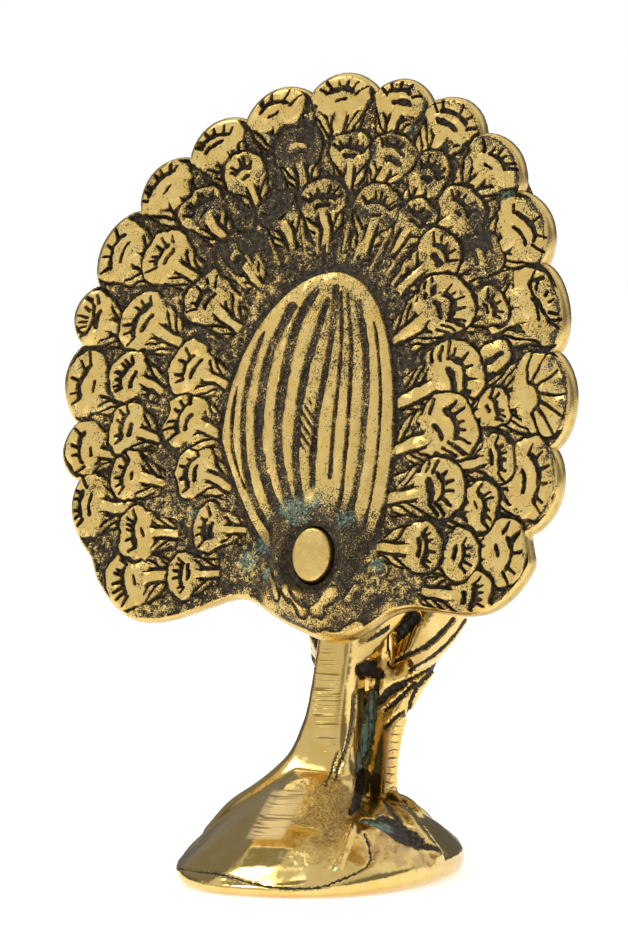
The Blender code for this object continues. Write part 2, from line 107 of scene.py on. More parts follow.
FLARE_TOP_Z = 21.0
FLARE_STATIONS = (
    (0.14, 9.6, 9.0), (0.29, 7.6, 8.0), (0.43, 4.9, 5.6), (0.55, 2.9, 3.4), (0.67, 1.4, 1.6),
    (0.81, 0.6, 0.7), (1.0, 0.1, 0.2),
)
FAN_LEAN_DEG = 10.0
FAN_THICK = 3.3
HUB_POINT = (-0.7, 2.3, 38.8)
FAN_CENTRE = (-1.3, 22.8)
SCALLOP_DEPTH = 2.1
GROUND_DEPTH = 1.0
SHIELD_TOP = 34.8
SHIELD_WAIST = 14.0
SHIELD_FOOT = -7.0
SHIELD_HALF_WIDTH = 11.1
SHIELD_MIDDLE = -2.5
SHIELD_APEX_SHIFT = 2.3
SHIELD_CROWN = 1.0
BOSS_RISE = 3.0
BOSS_RADIUS = 7.0
TENON_HALF_WIDTH = 2.5
TENON_HALF_HEIGHT = 3.3
TENON_PROUD = 2.5
TENON_BEVEL = 0.4
TENON_CLEARANCE = 0.3
SEAT_CLEARANCE = 0.3
SHOULDER_RADIUS = 6.4
OUTLINE = (
    (-172, 30.6), (-163, 28.7), (-154, 33.0), (-147, 38.0), (-141, 39.4), (-122, 37.4), (-98, 34.4),
    (-60, 34.1), (-28, 34.8), (0, 36.9), (30, 37.3), (52, 34.4), (74, 31.9), (97, 32.9), (118, 35.1),
    (135, 37.8), (143, 37.2), (151, 32.8), (158, 31.0), (172, 33.8),
)
SCALLOPS_FROM = -128.8
SCALLOP_WIDTHS = (14.4, 12.1, 17, 13.7, 19.2, 16.1, 14.9, 15.1, 14.4, 11.8, 13.1, 14.6, 16.7, 20.5,
                  21.6, 18.1)

# How far the shown rim lies inside the solid's
RIM_INSET = 0.07
# The mound's rear rim is lower than in the solid and its left flank is a straight slope
RIM_DROP = 1.1
FLANK_RISE = 12.0
# Corners of the flat facets between the post's foot and the rim
APRON = (
    (-2.8, 2.0, 13.8), (-7.6, 1.4, 11.3), (-5.0, 6.0, 13.0), (2.2, 2.0, 13.4), (4.2, 0.6, 10.5),
    (-14.7, -8.8, 2.4), (-11.9, -14.4, 2.1), (-15.4, -2.5, 2.6), (-12.1, -3.9, 6.0), (-12.0, -7.0, 0.8),
    (-4.5, -15.5, 0.8), (6.0, -14.5, 0.8), (3.0, 4.0, 1.0), (-12.0, 3.0, 1.5), (9.2, -15.4, 2.3),
    (-2.4, -3.6, 11.8), (-2.3, -10.0, 8.4), (-2.2, -15.2, 5.6), (2.4, -15.4, 5.6), (6.0, -14.6, 5.4),
    (-2.6, -17.6, 3.5), (2.0, -17.8, 3.5), (6.4, -16.8, 3.5),
    (-5.8, -18.4, 1.8), (-1.0, -19.4, 1.3), (2.5, -19.3, 1.2), (5.4, -18.6, 1.25), (8.2, -17.3, 1.4),
)
# How far each wing lies outside the solid's, and the swelling between post and right thigh
WING_SHIFT = {-1: -0.8, 1: 1.9}
RUMP = (
    (1.6, 7.0, 27.0, 1.9, 2.0), (3.4, 9.6, 29.6, 2.4, 2.6), (5.6, 13.4, 34.0, 3.0, 3.2),
    (6.5, 16.5, 38.0, 2.6, 2.8),
)

# Fineness of the shown meshes
BIRD_VOXEL = 0.31
FAN_CELLS = 560
FRONT_STEP = 4
FAN_FACES = 176000
SOFTEN_STEPS = 8
BIRD_CREASE_DEG = 50.0
FAN_CREASE_DEG = 55.0

# Heights of the fan's relief over the buffed plane in mm: what buffing leaves, the ground, a stem, and the
# floor of the hollow round the tenon
BUFFED_LEVEL = 0.02
GROUND_LEVEL = -0.24
STEM_LEVEL = 0.3
HOLLOW_LEVEL = 1.5
# How a head's rise counts in its wear, the wear of the rim, a feather's reach below its head's middle in
# shares of the head's length, and the seed of the small differences between feathers
HEAD_LIFT = 1.9
RIM_WORN = 0.6
FEATHER_REACH = 2.1
FAN_SEED = 7

# Kinds of engraving on a feather's head: lashes with two arcs, with an arc and a dot, with a wavy cup; a
# sunk ring round a raised arc; long rays; one plain stroke; lashes with two arcs and strokes at the sides
TWO_ARCS, DOTTED, CUPPED, RINGED, RAYED, PLAIN, BARBED = range(7)

# Feather eyes: angle from the top, distance from the fan's middle, half width, length share, rise over the
# buffed plane, and the number of the kind of engraving
OUTER_EYES = (
    (-138, 35.4, 3.4, 0.92, 0.3, 1), (-120, 34.4, 3.9, 0.78, 0.3, 0), (-108.5, 32.2, 3.2, 0.87, 0.3, 1),
    (-94, 31.0, 4.1, 0.74, 0.3, 1), (-79, 31.2, 3.5, 0.83, 0.3, 2), (-62.5, 31.2, 4.3, 0.74, 0.3, 0),
    (-45, 31.6, 4.1, 0.74, 0.3, 1), (-29.5, 32.2, 3.9, 0.78, 0.3, 0), (-14.5, 33.2, 4.0, 0.78, 0.3, 1),
    (0.5, 34.0, 4.0, 0.74, 0.25, 1), (13.5, 34.6, 3.4, 0.87, 0.3, 0), (26, 34.2, 3.8, 0.83, 0.3, 0),
    (39.5, 33.0, 4.0, 0.78, 0.2, 1), (55.5, 30.6, 4.3, 0.78, 0.25, 0), (73.5, 28.7, 5.0, 0.66, 0.3, 2),
    (95, 28.7, 5.1, 0.78, 0.3, 4), (114.5, 30.5, 4.9, 0.74, 0.3, 0), (131, 33.0, 4.0, 0.83, 0.3, 1),
    (142, 34.4, 3.2, 0.92, 0.3, 0),
)
SECOND_EYES = (
    (-147.5, 30.2, 2.8, 0.80, 0.3, 0), (-132, 30.6, 3.3, 0.74, 0.3, 1), (-118.5, 27.9, 3.1, 0.76, 0.25, 1),
    (-106.5, 26.2, 3.1, 0.78, 0.3, 0), (-92.5, 25.4, 3.2, 0.78, 0.3, 0), (-76.5, 24.6, 3.8, 0.74, 0.3, 0),
    (-57.5, 25.6, 3.6, 0.74, 0.3, 0), (-41, 26.2, 3.1, 0.80, 0.15, 1), (-26, 27.0, 2.7, 0.95, 0.25, 1),
    (-10, 27.8, 3.2, 0.95, -0.04, 3), (4.5, 27.0, 2.7, 0.90, 0.2, 0), (16, 27.6, 2.9, 0.92, 0.08, 0),
    (27.5, 27.2, 2.5, 1.20, 0.18, 0), (40.5, 26.0, 3.0, 0.95, 0.1, 1), (54.5, 24.4, 2.8, 1.00, -0.05, 3),
    (70, 22.9, 2.5, 0.85, 0.12, 0), (85, 22.3, 1.6, 1.50, 0.3, 5), (100.5, 23.2, 2.2, 1.00, 0.3, 1),
    (114, 25.6, 3.0, 0.80, 0.2, 0), (126.5, 27.0, 3.0, 0.80, 0.25, 1), (138.5, 29.4, 3.2, 0.76, 0.2, 0),
)
THIRD_EYES = (
    (-146, 23.6, 2.9, 0.80, 0.12, 0), (-129, 20.2, 3.1, 0.80, 0.25, 0), (-110, 18.6, 3.5, 0.76, 0.3, 0),
    (-89.5, 17.2, 3.4, 0.78, 0.3, 0), (-61, 17.8, 3.6, 0.78, 0.2, 0), (-41, 18.6, 2.6, 1.00, 0.02, 3),
    (-19, 20.6, 2.8, 0.88, 0.1, 1), (-3, 21.1, 3.0, 0.92, 0.16, 0), (17, 20.9, 3.2, 0.88, 0.08, 1),
    (31.5, 21.6, 2.4, 1.01, 0.08, 0), (45, 20.2, 2.9, 1.10, 0.16, 0), (62.5, 17.5, 3.9, 1.00, 0.25, 6),
    (91, 17.4, 4.2, 0.96, 0.3, 6), (111.5, 18.2, 4.1, 0.96, 0.3, 6), (131, 21.4, 3.7, 0.96, 0.25, 6),
    (145.5, 25.8, 3.0, 0.92, 0.15, 0),
)

# Buffed ridges chiselled on the hub below the tenon: half width and line
HUB_RIDGES = (
    (0.32, (-2.6, -4.4), (-0.6, -6.9)), (0.4, (3.2, -4.4), (0.9, -6.9)), (0.22, (-5.2, -2.6), (-4.2, -5.0)),
    (0.26, (5.6, -3.6), (4.6, -5.2)), (0.5, (-3.6, -8.3), (-0.6, -9.6), (2.6, -9.6), (5.8, -8.2)),
)

# Dark grooves of the shield, in the fan's own millimetres, with their half width
SHIELD_GROOVES = (
    (0.2, (-12.1, 21.6), (-12.3, 15.1), (-11.4, 10.6), (-9.6, 6.8), (-7.8, 3.8), (-6.2, 1.4)),
    (0.36, (-9.2, 27.2), (-10.5, 21.6), (-10.8, 17.2), (-10.4, 12.4), (-9.2, 7.6), (-6.9, 3.4), (-4.8, 0.6)),
    (0.62, (-5.4, 30.4), (-7.4, 26.0), (-8.4, 21.1), (-8.6, 15.2), (-8.0, 11.1), (-6.4, 7.0), (-4.4, 3.6)),
    (0.62, (-2.5, 32.2), (-4.4, 28.7), (-5.4, 23.8), (-5.9, 17.9), (-5.9, 13.9), (-5.0, 9.6), (-3.6, 5.6)),
    (0.46, (-0.9, 31.2), (-2.1, 26.0), (-3.0, 21.7), (-3.4, 16.6), (-3.4, 12.6), (-3.0, 9.4), (-2.3, 5.6)),
    (0.4, (0.1, 32.8), (0.2, 27.9), (-0.4, 21.8), (-0.9, 18.0), (-1.1, 13.6), (-1.0, 8.6)),
    (0.2, (0.8, 32.2), (1.4, 27.0), (1.5, 22.0), (1.3, 17.0), (1.2, 9.6)),
    (0.2, (1.7, 32.0), (2.6, 26.7), (3.0, 20.7), (3.0, 14.0), (2.8, 8.3), (2.3, 4.6)),
    (0.42, (3.1, 31.0), (4.4, 26.1), (5.0, 20.8), (5.0, 15.4), (4.7, 10.0), (3.6, 3.4)),
    (0.13, (5.4, 28.9), (6.4, 23.5), (6.9, 18.6), (6.9, 12.8), (6.3, 6.6), (5.0, 1.0)),
)
# Green spots on the fan: place in the photo's pixels, radius in mm and strength
GREEN_SPOTS_FAN = (
    (268, 137, 0.7, 1.0), (365, 98, 0.9, 1.0), (410, 130, 1.0, 0.5), (506, 196, 1.5, 0.6),
    (508, 250, 0.9, 0.5), (100, 363, 1.1, 0.8), (94, 405, 1.6, 0.9), (194, 515, 1.2, 0.6),
    (247, 562, 1.9, 0.9), (287, 508, 1.5, 0.9), (318, 498, 2.6, 0.6), (348, 520, 2.0, 0.5),
    (377, 565, 1.2, 0.9), (490, 535, 1.1, 0.6), (120, 200, 1.0, 0.4), (460, 480, 1.2, 0.5),
    (270, 575, 1.2, 0.7), (302, 512, 3.4, 0.52), (264, 545, 2.2, 0.55), (332, 540, 1.6, 0.5),
)

# Strokes on the bird in the photo's pixels: half width and depth in mm, dark share, green share, points
WING_STROKES = (
    (0.6, 0.5, 1.0, 0.5, (416, 618), (398, 635), (385, 648), (372, 658)),
    (0.3, 0.4, 1.0, 0.0, (454, 620), (441, 634), (424, 648), (405, 656), (390, 663)),
    (0.2, 0.3, 1.0, 0.0, (466, 620), (453, 638), (434, 656), (410, 670)),
    (0.22, 0.35, 0.8, 0.0, (402, 682), (422, 674), (440, 663), (459, 646)),
)
LEG_STROKES = (
    (0.5, 0.4, 1.0, 0.1, (403, 684), (391, 690), (379, 702)),
    (0.26, 0.35, 1.0, 0.0, (415, 684), (401, 697), (385, 711)),
    (0.22, 0.3, 1.0, 0.0, (404, 712), (395, 718), (384, 728)),
    (0.24, 0.35, 1.0, 0.0, (409, 718), (413, 697), (424, 680), (446, 662)),
)
POST_STROKES = (
    (0.3, 0.35, 0.62, 0.0, (355, 695), (354, 712), (351, 734), (346, 752), (339, 766), (336, 778)),
    (0.16, 0.2, 0.8, 0.0, (338, 752), (332, 768), (325, 785)),
    (0.3, 0.5, 1.0, 0.3, (377, 682), (375, 694)),
    (0.62, 0.8, 0.62, 1.0, (373, 694), (371, 712), (368, 735), (363, 757), (360, 772)),
    (0.6, 0.9, 1.0, 0.0, (362, 774), (361, 788), (358, 801), (354, 812)),
    (0.75, 0.6, 1.0, 0.0, (362, 670), (368, 667)),
    (0.6, 0.6, 1.0, 0.0, (369, 671), (377, 674)),
)
MOUND_STROKES = (
    (0.35, 0.35, 1.0, 0.9, (363, 820), (374, 822), (384, 826)),
    (0.8, 0.55, 1.0, 0.75, (382, 821), (392, 826)),
    (0.95, 0.6, 1.0, 0.2, (392, 826), (402, 833), (409, 838)),
    (0.6, 0.5, 1.0, 0.0, (408, 837), (418, 844)),
    (0.25, 0.3, 1.0, 0.0, (416, 843), (426, 848), (435, 852)),
    (0.22, 0.3, 0.9, 0.0, (404, 802), (421, 826), (441, 854)),
    (0.2, 0.25, 0.9, 0.0, (384, 800), (393, 812), (402, 824)),
    (0.13, 0.12, 1.0, 0.0, (176, 868), (200, 872), (219, 874), (252, 883), (282, 888), (315, 888),
     (333, 883), (354, 874), (368, 865), (371, 853), (364, 833)),
)
# Ridges raised on the mound: half width and rise in mm, points in the photo's pixels
MOUND_RIDGES = (
    (0.75, 0.55, (394, 796), (408, 814), (423, 836), (437, 855)),
    (0.5, 0.3, (352, 826), (346, 845), (338, 868)),
)
# Blots on the bird: strength, place and radii in the photo's pixels, seed and raggedness of the edge
ROUGH_BLOTS = (
    (1.0, 326, 818, 27, 34, 5, 0.9), (1.0, 337, 796, 22, 20, 6, 0.9), (0.35, 318, 850, 32, 16, 7, 0.9),
)
PITTED_BLOTS = ((1.0, 392, 850, 30, 19, 8, 0.8), (0.7, 424, 862, 18, 10, 9, 0.8))
BROWN_BLOTS = ((1.0, 387, 668, 15, 11, 13, 0.5), (0.8, 384, 762, 7, 38, 15, 0.8))
# Brown stain left of the leg, which ends at a column, and the pits on the leg: as above but for the strength
LEG_STAIN = (377, 730, 11, 60, 14, 0.5)
LEG_STAIN_FROM = 366
LEG_PITS = (387, 750, 7, 34, 16, 0.8)
# Filed oval on the post: place and radii in the photo's pixels
FILED_OVAL = (327, 700, 16, 58)
# The leg's scales in the photo's pixels: a point of their middle line, and the rows where they begin and end
SCALES_MIDDLE = (396.0, 730.0)
SCALES_BEGIN = (722.0, 730.0)
SCALES_END = (780.0, 788.0)
# Flat face below the post that gets a painted highlight, in the photo's pixels: its top, its height and how
# far it runs left on the way
FACET_TOP = (291.0, 788.0)
FACET_HEIGHT = 50.0
FACET_SHIFT = 27.0
# Painted shade along the seam between the fan and the post, in the photo's pixels
SEAM_SHADE_LINE = ((318, 646), (335, 652), (360, 645), (385, 630), (402, 616))


def smoothstep(low, high, x):
    t = np.clip((x - low) / (high - low), 0.0, 1.0)
    return t * t * (3.0 - 2.0 * t)


def falloff(low, high, x):
    """1 up to low and 0 from high on."""
    return 1.0 - smoothstep(low, high, x)


def blend(a, b, share):
    """From a to b as share goes from 0 to 1."""
    return a * (1.0 - share) + b * share


def soft_noise(a, b, cell, seed):
    """Smooth noise from 0 to 1 over the plane of a and b, its bumps about one cell wide."""
    rng = np.random.RandomState(seed)
    table = rng.rand(97, 97)
    x, y = a / cell + 40.0, b / cell + 40.0
    i, j = np.floor(x).astype(int), np.floor(y).astype(int)
    fx, fy = x - i, y - j
    fx, fy = fx * fx * (3 - 2 * fx), fy * fy * (3 - 2 * fy)
    low = table[i % 97, j % 97] * (1 - fx) + table[(i + 1) % 97, j % 97] * fx
    high = table[i % 97, (j + 1) % 97] * (1 - fx) + table[(i + 1) % 97, (j + 1) % 97] * fx
    return low * (1 - fy) + high * fy


def ripple(a, b, cell, seed):
    """Soft noise about nought, from -0.5 to 0.5."""
    return soft_noise(a, b, cell, seed) - 0.5


def add_object(name, data):
    obj = bpy.data.objects.new(name, data)
    bpy.context.scene.collection.objects.link(obj)
    return obj


# Camera

def camera_axes():
    a, e = math.radians(CAMERA_AZIMUTH), math.radians(CAMERA_ELEVATION)
    back = np.array((math.sin(a) * math.cos(e), -math.cos(a) * math.cos(e), math.sin(e)))
    right = np.array((math.cos(a), math.sin(a), 0.0))
    return back, right, np.cross(back, right)


def photo_place(points):
    """Pixel of the photo at which each point in space shows."""
    back, right, up = camera_axes()
    away = points - np.array(CAMERA_TARGET)
    scale = PIXELS_PER_MM * CAMERA_DISTANCE / (CAMERA_DISTANCE - away @ back)
    return 0.5 * IMAGE_SIZE[0] + scale * (away @ right), 0.5 * IMAGE_SIZE[1] - scale * (away @ up)


def on_fan(px, py):
    """Place on the fan's buffed plane that shows at a pixel of the photo."""
    back, right, up = camera_axes()
    eye = np.array(CAMERA_TARGET) + back * CAMERA_DISTANCE
    reach = PIXELS_PER_MM * CAMERA_DISTANCE
    ray = -back + right * (px - 0.5 * IMAGE_SIZE[0]) / reach + up * (0.5 * IMAGE_SIZE[1] - py) / reach
    lean = math.radians(FAN_LEAN_DEG)
    out = np.array((0.0, -math.cos(lean), math.sin(lean)))
    rise = np.array((0.0, math.sin(lean), math.cos(lean)))
    hub = np.array(HUB_POINT)
    spot = eye + ray * ((hub - eye) @ out) / (ray @ out) - hub
    return spot[0], spot @ rise


def make_camera():
    data = bpy.data.cameras.new("camera")
    data.sensor_width = SENSOR
    data.lens = PIXELS_PER_MM * CAMERA_DISTANCE / max(IMAGE_SIZE) * SENSOR
    data.clip_start, data.clip_end = 0.05, 20.0
    cam = add_object("camera", data)
    back = Vector(camera_axes()[0])
    cam.location = (Vector(CAMERA_TARGET) + back * CAMERA_DISTANCE) * MM
    cam.rotation_mode = "QUATERNION"
    cam.rotation_quaternion = (-back).to_track_quat("-Z", "Y")
    bpy.context.scene.camera = cam


# Mesh helpers

def quick_mesh(name, verts, faces):
    """Mesh object from arrays: vertices in mm and faces all with the same number of corners."""
    verts = np.asarray(verts, dtype=np.float32) * MM
    faces = np.asarray(faces, dtype=np.int32)
    mesh = bpy.data.meshes.new(name)
    mesh.vertices.add(len(verts))
    mesh.vertices.foreach_set("co", verts.ravel())
    corners = faces.shape[1]
    mesh.loops.add(faces.size)
    mesh.loops.foreach_set("vertex_index", faces.ravel())
    mesh.polygons.add(len(faces))
    mesh.polygons.foreach_set("loop_start", np.arange(0, faces.size, corners, dtype=np.int32))
    mesh.update(calc_edges=True)
    mesh.validate()
    return add_object(name, mesh)


def mesh_object(name, shapes):
    """One object of several shells, each given as vertices in mm and faces."""
    verts, faces = [], []
    for shape_verts, shape_faces in shapes:
        faces += [tuple(i + len(verts) for i in face) for face in shape_faces]
        verts += [tuple(np.array(v) * MM) for v in shape_verts]
    mesh = bpy.data.meshes.new(name)
    mesh.from_pydata(verts, [], faces)
    bm = bmesh.new()
    bm.from_mesh(mesh)
    bmesh.ops.recalc_face_normals(bm, faces=bm.faces)
    bm.to_mesh(mesh)
    bm.free()
    return add_object(name, mesh)


def settle(obj):
    depsgraph = bpy.context.evaluated_depsgraph_get()
    made = bpy.data.meshes.new_from_object(obj.evaluated_get(depsgraph))
    obj.modifiers.clear()
    obj.data = made


def boolean(obj, other, operation):
    mod = obj.modifiers.new(operation.lower(), "BOOLEAN")
    mod.operation = operation
    mod.object = other
    settle(obj)
    bpy.data.objects.remove(other, do_unlink=True)


def points_of(mesh):
    co = np.empty(len(mesh.vertices) * 3, dtype=np.float32)
    mesh.vertices.foreach_get("co", co)
    return co.reshape(-1, 3).astype(float) / MM


def normals_of(mesh):
    out = np.empty(len(mesh.vertices) * 3, dtype=np.float32)
    mesh.vertex_normals.foreach_get("vector", out)
    return out.reshape(-1, 3).astype(float)


def put_points(mesh, points):
    mesh.vertices.foreach_set("co", (points * MM).astype(np.float32).ravel())
    mesh.update()


def put_value(mesh, name, values):
    layer = mesh.attributes.new(name, "FLOAT", "POINT")
    layer.data.foreach_set("value", np.asarray(values, dtype=np.float32))


def loft(sections):
    """Closed skin through rings of equal count, each an (n, 3) array, with both ends capped."""
    count = len(sections[0])
    verts = np.concatenate(sections)
    faces = []
    for ring in range(len(sections) - 1):
        for k in range(count):
            a = ring * count + k
            b = ring * count + (k + 1) % count
            faces.append((a, b, b + count, a + count))
    faces.append(tuple(reversed(range(count))))
    faces.append(tuple(range(len(verts) - count, len(verts))))
    return verts, faces


def oval_ring(centre, across, along, squareness=2.0, count=40):
    turn = np.linspace(0.0, 2.0 * math.pi, count, endpoint=False)
    c, s = np.cos(turn), np.sin(turn)
    power = 2.0 / squareness
    c = np.sign(c) * np.abs(c) ** power
    s = np.sign(s) * np.abs(s) ** power
    return np.array(centre) + np.outer(c, across) + np.outer(s, along)


def smooth_path(points, steps):
    """Catmull-Rom curve through rows of numbers."""
    p = np.array(points, dtype=float)
    p = np.vstack([2 * p[0] - p[1], p, 2 * p[-1] - p[-2]])
    rows = []
    for i in range(1, len(p) - 2):
        for t in np.linspace(0.0, 1.0, steps, endpoint=False):
            rows.append(0.5 * (2 * p[i] + (p[i + 1] - p[i - 1]) * t
                               + (2 * p[i - 1] - 5 * p[i] + 4 * p[i + 1] - p[i + 2]) * t ** 2
                               + (3 * p[i] - p[i - 1] - 3 * p[i + 1] + p[i + 2]) * t ** 3))
    rows.append(p[-2])
    return np.array(rows)


def line_distance(x, y, points):
    """Distance of each place to the smooth line through points."""
    best = np.full(x.shape, 1e9)
    path = smooth_path(points, 4) if len(points) > 2 else np.array(points, dtype=float)
    for (x0, y0), (x1, y1) in zip(path, path[1:]):
        dx, dy = x1 - x0, y1 - y0
        t = np.clip(((x - x0) * dx + (y - y0) * dy) / (dx * dx + dy * dy), 0.0, 1.0)
        best = np.minimum(best, np.hypot(x - x0 - t * dx, y - y0 - t * dy))
    return best


# The bird's plain forms, as in the part

def limb(stations, steps=6, squareness=2.0, side=(1.0, 0.0, 0.0)):
    path = smooth_path(stations, steps)
    centre = path[:, :3]
    tangent = np.gradient(centre, axis=0)
    rings = []
    for c, t, size in zip(centre, tangent, path[:, 3:]):
        t = t / np.linalg.norm(t)
        across = np.array(side) - np.dot(side, t) * t
        across /= np.linalg.norm(across)
        deep = np.cross(t, across)
        rings.append(oval_ring(c, across * size[0], deep * size[1], squareness))
    return loft(rings)


def ball(centre, radii, tilt=(0.0, 0.0, 0.0)):
    turn = np.array(Euler([math.radians(a) for a in tilt]).to_matrix())
    rings = []
    for lat in np.linspace(-84.0, 84.0, 17):
        z = math.sin(math.radians(lat))
        r = math.cos(math.radians(lat))
        ring = oval_ring((0.0, 0.0, z), (r, 0.0, 0.0), (0.0, r, 0.0), count=28)
        rings.append((ring * np.array(radii)) @ turn.T + np.array(centre))
    return loft(rings)


MOUND_PROFILE = (
    (1.0, BASE_RIM_Z), (0.985, BASE_RIM_Z + 1.0), (0.9, 0.55 * MOUND_TOP_Z), (0.755, 0.76 * MOUND_TOP_Z),
    (0.58, 0.92 * MOUND_TOP_Z), (0.35, MOUND_TOP_Z), (0.1, MOUND_TOP_Z),
)


def mound_height(x, y):
    share = (abs(x / BASE_HALF_WIDTH) ** BASE_SQUARENESS
             + abs((y - BASE_MIDDLE_Y) / BASE_HALF_LENGTH) ** BASE_SQUARENESS) ** (1.0 / BASE_SQUARENESS)
    shares = [p[0] for p in reversed(MOUND_PROFILE)]
    heights = [p[1] for p in reversed(MOUND_PROFILE)]
    return float(np.interp(share, shares, heights))


def mound():
    def ring(share, z, inset=0.0):
        across = (share * BASE_HALF_WIDTH - inset, 0.0, 0.0)
        along = (0.0, share * BASE_HALF_LENGTH - inset, 0.0)
        points = oval_ring((0.0, BASE_MIDDLE_Y, z), across, along, BASE_SQUARENESS, 96)
        turn = np.degrees(np.arctan2(points[:, 1] - BASE_MIDDLE_Y, points[:, 0]))
        rear = smoothstep(60.0, 15.0, np.abs(turn + 84.0))
        flank = smoothstep(-60.0, -85.0, turn) * smoothstep(-165.0, -146.0, turn)
        rim = BASE_RIM_Z - RIM_DROP * rear
        dropped = z - (BASE_RIM_Z - rim) * np.clip(z / BASE_RIM_Z, 0.0, 1.0)
        straight = rim + FLANK_RISE * (1.0 - share)
        points[:, 2] = dropped - flank * np.clip(dropped - straight, 0.0, 2.0) * (z > BASE_RIM_Z)
        return points
    profile = smooth_path([(1.0, -0.4 * BASE_RIM_Z, BASE_UNDERCUT), (1.0, 0.0, BASE_UNDERCUT),
                           (1.0, 0.3 * BASE_RIM_Z, 0.2 * BASE_UNDERCUT)]
                          + [(share, z, 0.0) for share, z in MOUND_PROFILE], 4)
    return loft([ring(*row) for row in profile])


def apron():
    """The flank's flat facets, which run from the foot of the post to the rim."""
    bm = bmesh.new()
    for corner in APRON:
        bm.verts.new(corner)
    bmesh.ops.convex_hull(bm, input=bm.verts)
    bm.verts.index_update()
    verts = np.array([tuple(v.co) for v in bm.verts])
    faces = [tuple(v.index for v in face.verts) for face in bm.faces]
    bm.free()
    return verts, faces


def fan_point(u, v, h):
    """World place of a point in the fan's own frame: across, up the fan, and out of its back."""
    lean = math.radians(FAN_LEAN_DEG)
    x0, y0, z0 = HUB_POINT
    x = x0 + u
    y = y0 + v * math.sin(lean) - h * math.cos(lean)
    z = z0 + v * math.cos(lean) + h * math.sin(lean)
    return np.stack(np.broadcast_arrays(x, y, z), axis=-1)


def fan_coordinates(points):
    lean = math.radians(FAN_LEAN_DEG)
    away = points - np.array(HUB_POINT)
    v = away[:, 1] * math.sin(lean) + away[:, 2] * math.cos(lean)
    h = -away[:, 1] * math.cos(lean) + away[:, 2] * math.sin(lean)
    return away[:, 0], v, h


def post_back(z):
    lean = math.radians(FAN_LEAN_DEG)
    front_y = HUB_POINT[1] + (POST_HEAD_Z - HUB_POINT[2]) * math.tan(lean) + FAN_THICK / math.cos(lean)
    foot = np.array(POST_FOOT)
    head = np.array((POST_HEAD_X, front_y + POST_SET_BACK, POST_HEAD_Z))
    return foot + (head - foot) * (z - foot[2]) / (head[2] - foot[2])


def post():
    stations = []
    for share, widen, deepen in (*FLARE_STATIONS, (POST_TOP_Z / FLARE_TOP_Z, 0.0, 0.0)):
        x, y, z = post_back(share * FLARE_TOP_Z)
        half_depth = 0.5 * (POST_DEPTH + deepen)
        stations.append((x - 0.12 * widen, y - 0.55 * deepen + half_depth, z,
                         POST_HALF_WIDTH + widen, half_depth))
    return limb(stations, squareness=3.4)


def webs():
    rib, wall, between = [], [], []
    for share in (0.1, 0.35, 0.6, 0.8, 1.0):
        z = share * (HUB_POINT[2] - HIP_DROP)
        rear = post_back(z)[1] + 0.3 * POST_DEPTH
        middle = 0.45 * rear + 0.55 * LEG_Y
        rib.append((BIRD_X, 0.5 * (rear + middle), z, RIB_HALF_WIDTH, 0.5 * (middle - rear)))
        wall.append((BIRD_X, 0.5 * (rear + LEG_Y), z, WEB_HALF_THICK, 0.5 * (LEG_Y - rear)))
        between.append((BIRD_X, LEG_Y, z, LEG_SPREAD, WEB_HALF_THICK))
    return [limb(stations, squareness=3.0) for stations in (rib, wall, between)]


def leg(side):
    x = BIRD_X + side * LEG_SPREAD
    r, thigh = LEG_RADIUS, THIGH_RADIUS
    ankle = mound_height(x, LEG_Y) + 0.5 * r
    hip = HUB_POINT[2] - HIP_DROP
    return limb([
        (x - 0.7, LEG_Y, ankle - LEG_SINK, r, r), (x - 0.7, LEG_Y, ankle, r, 1.1 * r),
        (x - 0.4, LEG_Y + 0.1, 0.5 * (ankle + KNEE_Z), 0.95 * r, r),
        (x + 0.2 * side, LEG_Y + 0.8, KNEE_Z, 1.15 * r, 1.2 * r),
        (x + 0.8 * side, LEG_Y + 2.4, KNEE_Z + 3.8, 1.7 * r, 1.9 * r),
        (x + 1.5 * side, LEG_Y + 4.6, KNEE_Z + 8.2, 0.9 * thigh, thigh),
        (x + 1.0 * side, LEG_Y + 6.0, hip + 1.0, thigh, 1.2 * thigh),
    ])


def toe(side, heading_deg, length):
    x0 = BIRD_X + side * LEG_SPREAD
    turn = math.radians(heading_deg)
    stations = []
    for share, swell in ((0.0, 1.0), (0.3, 1.0), (0.65, 0.85), (1.0, 0.45)):
        x = x0 + side * math.sin(turn) * length * share
        y = LEG_Y + math.cos(turn) * length * share
        z = mound_height(x, y) + 0.35 * TOE_RADIUS
        stations.append((x, y, z, swell * TOE_RADIUS, swell * TOE_RADIUS))
    return limb(stations, side=(math.cos(turn), -side * math.sin(turn), 0.0))


def body_and_neck():
    stations = []
    for rows, width, depth in ((BODY_STATIONS, BODY_HALF_WIDTH, BODY_HALF_DEPTH),
                               (NECK_STATIONS, NECK_RADIUS, NECK_RADIUS)):
        for forward, up, wide, deep in rows:
            stations.append((BIRD_X, HUB_POINT[1] + forward, HUB_POINT[2] + up, wide * width, deep * depth))
    return limb(stations)


def wing(side):
    stations = []
    for out, forward, up, chord, thick in WING_STATIONS:
        stations.append((BIRD_X + side * out + side * WING_SHIFT[side], HUB_POINT[1] + forward,
                         HUB_POINT[2] + up, chord * WING_HALF_CHORD, thick * WING_HALF_THICK))
    return limb(stations, side=(0.0, -0.63, 0.77))


